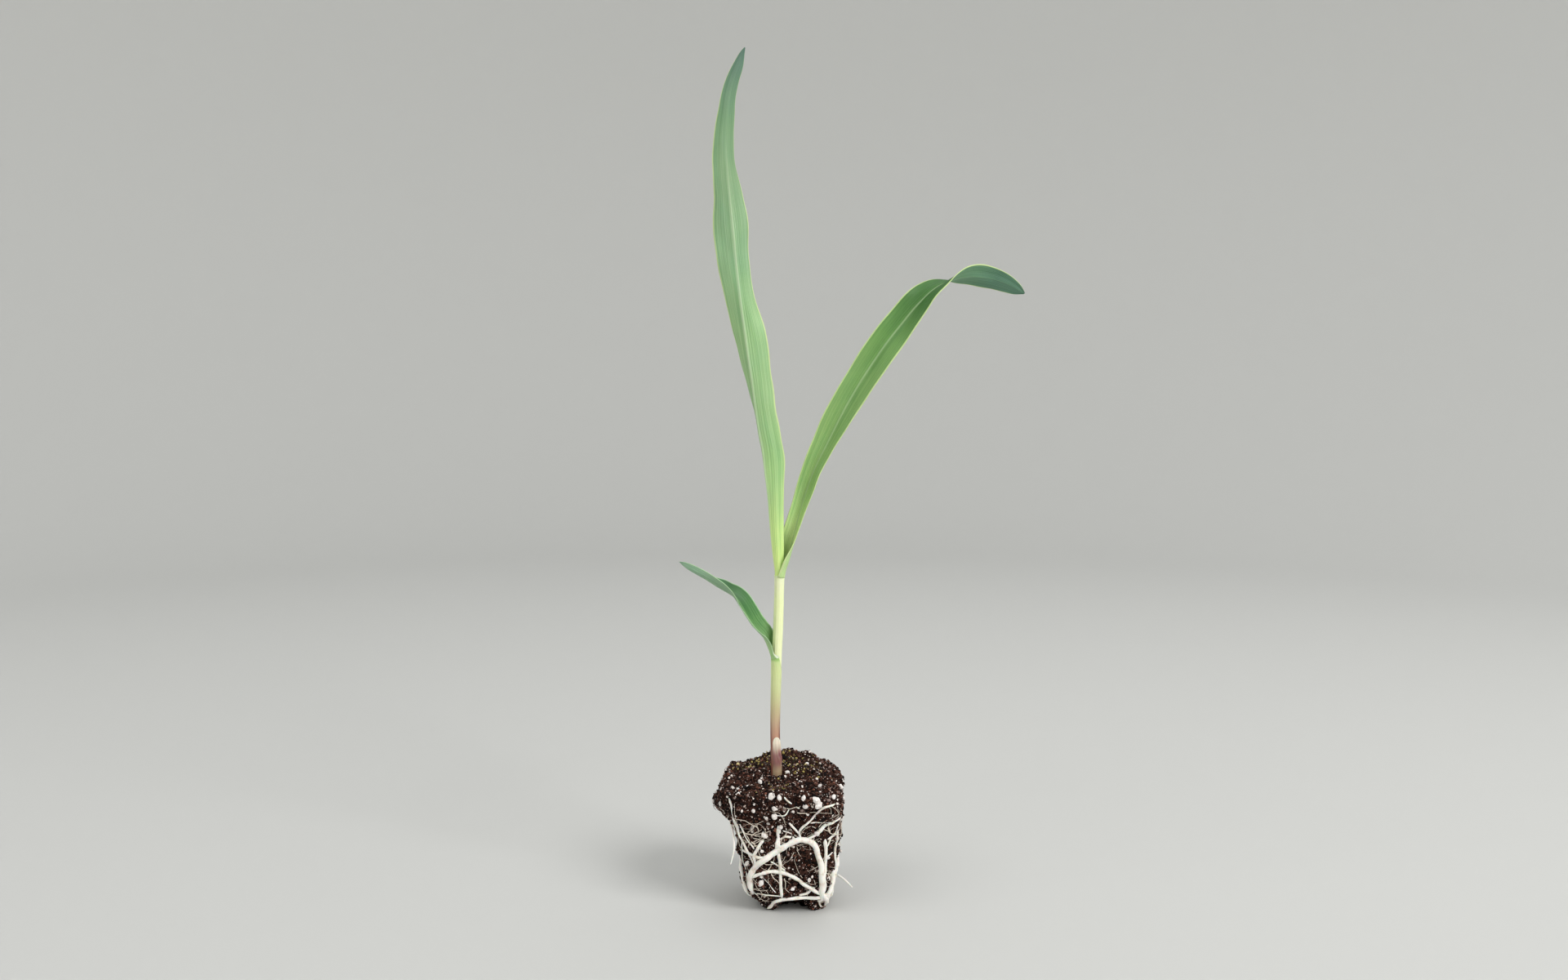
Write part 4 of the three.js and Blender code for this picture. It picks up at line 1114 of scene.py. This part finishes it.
# Pale grains seen from the front: x, z and radius on the front side, and x, y and radius on top.
FRONT_GRAINS = np.array([
    (-3.6, 38.6, 1.0), (-1.4, 38.5, 0.9), (5.8, 38.4, 0.8), (9.6, 37.6, 1.15), (10.3, 36, 1.1),
    (6.4, 35.6, 1.05), (14.9, 37.9, 0.9), (-9.1, 34.2, 0.65), (-8.9, 36, 0.5), (-2.9, 35, 0.8),
    (2.6, 33.8, 0.6), (-2.9, 32.4, 0.8), (-5.9, 26, 1.1), (7.1, 32.8, 0.45), (-9.7, 28.1, 0.7),
    (-14.2, 32.4, 0.6), (-1, 28.6, 0.6), (9.9, 26.6, 0.65), (13.8, 18, 0.6), (13.9, 11.3, 0.9),
    (-11.5, 16.2, 0.75), (-7, 10.5, 1.0), (-6.8, 12.6, 0.6), (2.6, 8.6, 0.6), (2.4, 18.9, 0.35),
    (7.6, 11.8, 0.7), (-5.3, 31.6, 0.5), (-4.8, 29.6, 0.5), (-6.6, 21, 0.45), (5.4, 20.5, 0.3),
])
TOP_GRAINS = np.array([
    (-15.8, -10.4, 0.7), (-14.1, -12.2, 0.6), (-13.8, -16.2, 0.6), (-16.5, -15.6, 0.45),
    (-7.3, -10.7, 0.75), (-6.9, -6.9, 0.45), (1, -0.5, 1.05), (7.3, 7.5, 0.65), (10.9, -12.5, 0.6),
    (-6.6, 6, 0.45), (12.1, 6, 0.4), (-1.9, -13.5, 0.5), (4.6, -8, 0.35), (-11, -13.8, 0.4),
    (14.4, -3.2, 0.45), (-9.6, -3.4, 0.35),
])
GOLD_GRAINS = np.array([
    (1.9, 8.6, 0.65), (8.9, 8, 0.55), (4.2, 8.4, 0.45), (-14.7, 6.2, 0.6), (-12.6, 5.6, 0.5),
    (-9.7, 6.6, 0.45), (-8, 8.7, 0.4), (6.8, 4.8, 0.45), (-11.2, 6.3, 0.4), (-4.9, 12.4, 0.4),
    (11.6, 2.4, 0.4), (-13.6, 1.2, 0.35),
])
# Patches of moss on top: x, y and spread.
MOSS_PATCHES = np.array([
    (6, 1.5, 3.2), (-11.5, 6, 2.6), (-6, 12, 2.8), (2.5, 9.5, 2.2), (9, 8.5, 2.6), (-3, -14, 2.4),
])
MOSS_LIMIT = 16.5
# What lies loose on the compost: its number, smallest and largest radius, colour and seed.
LOOSE_GRAINS = {
    "crumbs_dark": (5600, 0.16, 0.52, "130c0b", 72),
    "crumbs_brown": (4200, 0.13, 0.55, "452c24", 73),
    "crumbs_rust": (2300, 0.09, 0.4, "7d5142", 74),
    "crumbs_grey": (2200, 0.1, 0.42, "8d7a74", 81),
    "specks": (4200, 0.08, 0.24, "cbbab0", 75),
    "pale_grit": (900, 0.14, 0.42, "eee4dc", 76),
}


def add_piece(name, made, material, node=None, smooth=True):
    """A piece of the root ball from points and faces, with nothing of it below the ground."""
    points, faces = made
    points[:, 2] = np.maximum(points[:, 2], 0)
    piece = mesh_of(name, points, faces, smooth=smooth)
    enter(piece, material, node)
    return piece


def add_compost(tracks):
    """The compost, with its crumbs, fibres, perlite, gold grains and moss."""
    rows, columns = 190, 400
    travel, angle = np.meshgrid(np.linspace(0.6, WHOLE_TRAVEL - 0.4, rows),
                                np.arange(columns) / columns * 2 * np.pi, indexing="ij")
    base, out = (grid.reshape(-1, 3) for grid in on_plug(angle, travel))
    grown = base + out * crumble(base, nearest(base, tracks)[0])[:, None]
    made = closed_rings(notched(grown).reshape(rows, columns, 3))
    soil = grain_finish("damp_peat", "0c0706", "46291f", 0.9, 0.9, 0.3, Specular_IOR_Level=0.15)
    outward(add_piece("compost", made, soil, "root_ball"))

    rng = np.random.default_rng(71)
    for name, (count, smallest, largest, colour, seed) in LOOSE_GRAINS.items():
        places = ground(*on_plug(*scatter(count, seed)), tracks, 0.8)
        sizes = smallest * (largest / smallest) ** (rng.uniform(0, 1, len(places[0])) ** 1.8)
        made = grains(places, sizes, seed, (0.5, 1.7))
        material = plain_finish("compost_" + name, colour, 0.88, Specular_IOR_Level=0.15)
        add_piece("compost_" + name, made, material, smooth=False)

    places = scatter(1000, 77)
    made = tubes(*creeping_roots(*places, 77, (1.2, 4.5), (0.07, 0.17), 6), 4)
    add_piece("compost_fibres", made, plain_finish("peat_fibre", "6f4836", 0.8))

    front = on_side(0, FRONT_GRAINS[:, 0], FRONT_GRAINS[:, 1])
    top = on_plug(*top_places(TOP_GRAINS[:, 0], TOP_GRAINS[:, 1]))
    angle, travel = scatter(150, 78, 22)
    beside = (plug_at(angle, travel)[:, 1] > -11) & (travel < RIM_TRAVEL + 2)
    around = on_plug(angle[beside], travel[beside])
    sizes = np.concatenate([FRONT_GRAINS[:, 2], TOP_GRAINS[:, 2], rng.uniform(0.3, 0.85, beside.sum())])
    base, out = (np.concatenate(parts) for parts in zip(front, top, around))
    perlite = grain_finish("perlite", "e3d9d1", "fdfbf9", 0.8, 0.8, 0.12)
    made = grains(ground(base, out, tracks), sizes, 78, (0.65, 1.3), sunk=0.0, flat=0.8, fine=True)
    add_piece("compost_perlite", made, perlite, smooth=False)

    gold = on_plug(*top_places(GOLD_GRAINS[:, 0], GOLD_GRAINS[:, 1]))
    made = grains(ground(*gold, tracks), GOLD_GRAINS[:, 2], 79, (0.45, 1.5), sunk=0.0, flat=0.7, fine=True)
    add_piece("compost_gold_grains", made, plain_finish("gold_grain", "d6c48e", 0.7), smooth=False)
    for name, colour, count, seed in (("moss_dark", "2a2311", 520, 80), ("moss_light", "ab9a58", 260, 82)):
        patch = MOSS_PATCHES[rng.integers(0, len(MOSS_PATCHES), count)]
        spot = patch[:, :2] + rng.normal(0, 1, (count, 2)) * patch[:, 2:]
        spots = on_plug(*top_places(*np.clip(spot, -MOSS_LIMIT, MOSS_LIMIT).T))
        places = ground(*spots, tracks)
        made = grains(places, rng.uniform(0.08, 0.3, count), seed, (0.4, 1.8), flat=1.1)
        add_piece("compost_" + name, made, plain_finish(name, colour, 0.9), smooth=False)


def add_root_ball():
    """The compost, and the roots that hold it."""
    nets = {"front": (0, FRONT_ROOTS)}
    nets |= {side: (net["turn"], side_roots(net)) for side, net in SIDE_ROOTS.items()}
    lines = {side: stacked([root_line(turn, *root, 40 + i) for i, root in enumerate(roots)])
             for side, (turn, roots) in nets.items()}
    threads = stacked([root_line(0, *root, 60 + i) for i, root in enumerate(FRONT_THREADS)])
    tracks = np.concatenate([made[0].reshape(-1, 3) for made in (*lines.values(), threads)])
    add_compost(tracks)

    material = root_finish()
    for side, made in lines.items():
        add_piece(side + "_root_net", tubes(*made, 14), material, side + "_roots")
    add_piece("front_root_threads", tubes(*threads, 10), material)
    for side, (width, route) in LOOSE_ROOTS.items():
        t, line = stations(route, ROOT_STEPS)
        radius = width / 2 * (1 + 0.1 * field(line, 3.0, 90)) * (1 - 0.6 * t ** 2)
        made = tubes(line[None], radius[None], np.array([[[0, -1.0, 0.1]]]), 12)
        add_piece("loose_root_" + side + "_strand", made, material, "loose_root_" + side)

    rng = np.random.default_rng(91)
    starts = [axis[rng.integers(0, len(tracks), 110)] for axis in places_of(tracks)]
    low = FOOT_TRAVEL + 1
    creepers = [
        creeping_roots(*starts, 92, (3, 10), (0.14, 0.34), loose=1.0),
        creeping_roots(*scatter(36, 93, low, low + 28), 93, (6, 16), (0.16, 0.36), loose=1.0),
        creeping_roots(*scatter(110, 94, low, low + 30), 94, (2, 8), (0.07, 0.14), loose=1.6),
    ]
    made = joined([tubes(*creeper, 5) for creeper in creepers])
    add_piece("fine_roots", made, plain_finish("fine_root_tissue", "d9cdbd", 0.6))


# Floor, light and camera

# The floor is flat out to a radius, then sweeps up on a quarter circle into a wall.
FLOOR_RADIUS, SWEEP_RADIUS, WALL_TOP = 900, 700, 2600
FLOOR_SIDES = 96
# Each lamp's place and size in metres, and its power in watts.
LAMPS = {
    "key_light": ((1.08, -0.88, 1.04), 0.68, 19.2),
    "fill_light": ((-1.15, -0.77, 1.15), 1.2, 10.5),
    "top_light": ((0.1, 0.3, 1.2), 0.8, 1.8),
}
LAMPS_LOOK_AT = Vector((0, 0, 0.13))
# The camera's lens in millimetres, its place and range in metres, and its pitch in degrees.
CAMERA = {"lens": 28.0, "place": (0.0, -0.375, 0.1545), "pitch": -3.9, "sees": (0.01, 20.0)}


def add_studio():
    """A pale floor that sweeps up into a round wall, lit softly from both sides and from above."""
    flat, turn = np.linspace(0, FLOOR_RADIUS, 10), np.linspace(0, np.pi / 2, 24)[1:]
    radius = np.concatenate([flat, FLOOR_RADIUS + SWEEP_RADIUS * np.sin(turn), [FLOOR_RADIUS + SWEEP_RADIUS]])
    height = np.concatenate([0 * flat, SWEEP_RADIUS * (1 - np.cos(turn)), [WALL_TOP]])
    angle = np.arange(FLOOR_SIDES) / FLOOR_SIDES * 2 * np.pi
    rings = radius[1:, None, None] * way_at(-angle) + height[1:, None, None] * UP
    points = np.concatenate([rings.reshape(-1, 3), [[0, 0, 0]]])
    fan = end_fans(len(rings), FLOOR_SIDES)[:FLOOR_SIDES]
    floor = mesh_of("studio_floor", points, [ring_faces(len(rings), FLOOR_SIDES), fan])
    f = Finish("studio_paper", 0.9)
    f.set(f.shader, "Base Color", srgb("c9c9c6"))
    floor.data.materials.append(f.material)

    for name, (place, size, power) in LAMPS.items():
        light = bpy.data.lights.new(name, "AREA")
        light.size = size
        light.energy = power
        lamp = bpy.data.objects.new(name, light)
        lamp.location = place
        lamp.rotation_euler = (LAMPS_LOOK_AT - Vector(place)).to_track_quat("-Z", "Y").to_euler()
        lamp.visible_camera = False
        bpy.context.scene.collection.objects.link(lamp)
    world = bpy.data.worlds.new("studio_air")
    world.use_nodes = True
    air = world.node_tree.nodes["Background"].inputs
    air["Color"].default_value = srgb("eef1f4")
    air["Strength"].default_value = 0.75
    bpy.context.scene.world = world
    bpy.context.scene.view_settings.view_transform = "Standard"


def add_camera():
    """The camera: level with the leaves and close, as the photograph looks at the plant."""
    data = bpy.data.cameras.new("camera")
    data.lens = CAMERA["lens"]
    data.clip_start, data.clip_end = CAMERA["sees"]
    camera = bpy.data.objects.new("camera", data)
    camera.location = CAMERA["place"]
    camera.rotation_euler = (math.radians(90 + CAMERA["pitch"]), 0, 0)
    bpy.context.scene.collection.objects.link(camera)
    bpy.context.scene.camera = camera


add_camera()
add_studio()
add_leaves()
add_stem()
add_root_ball()
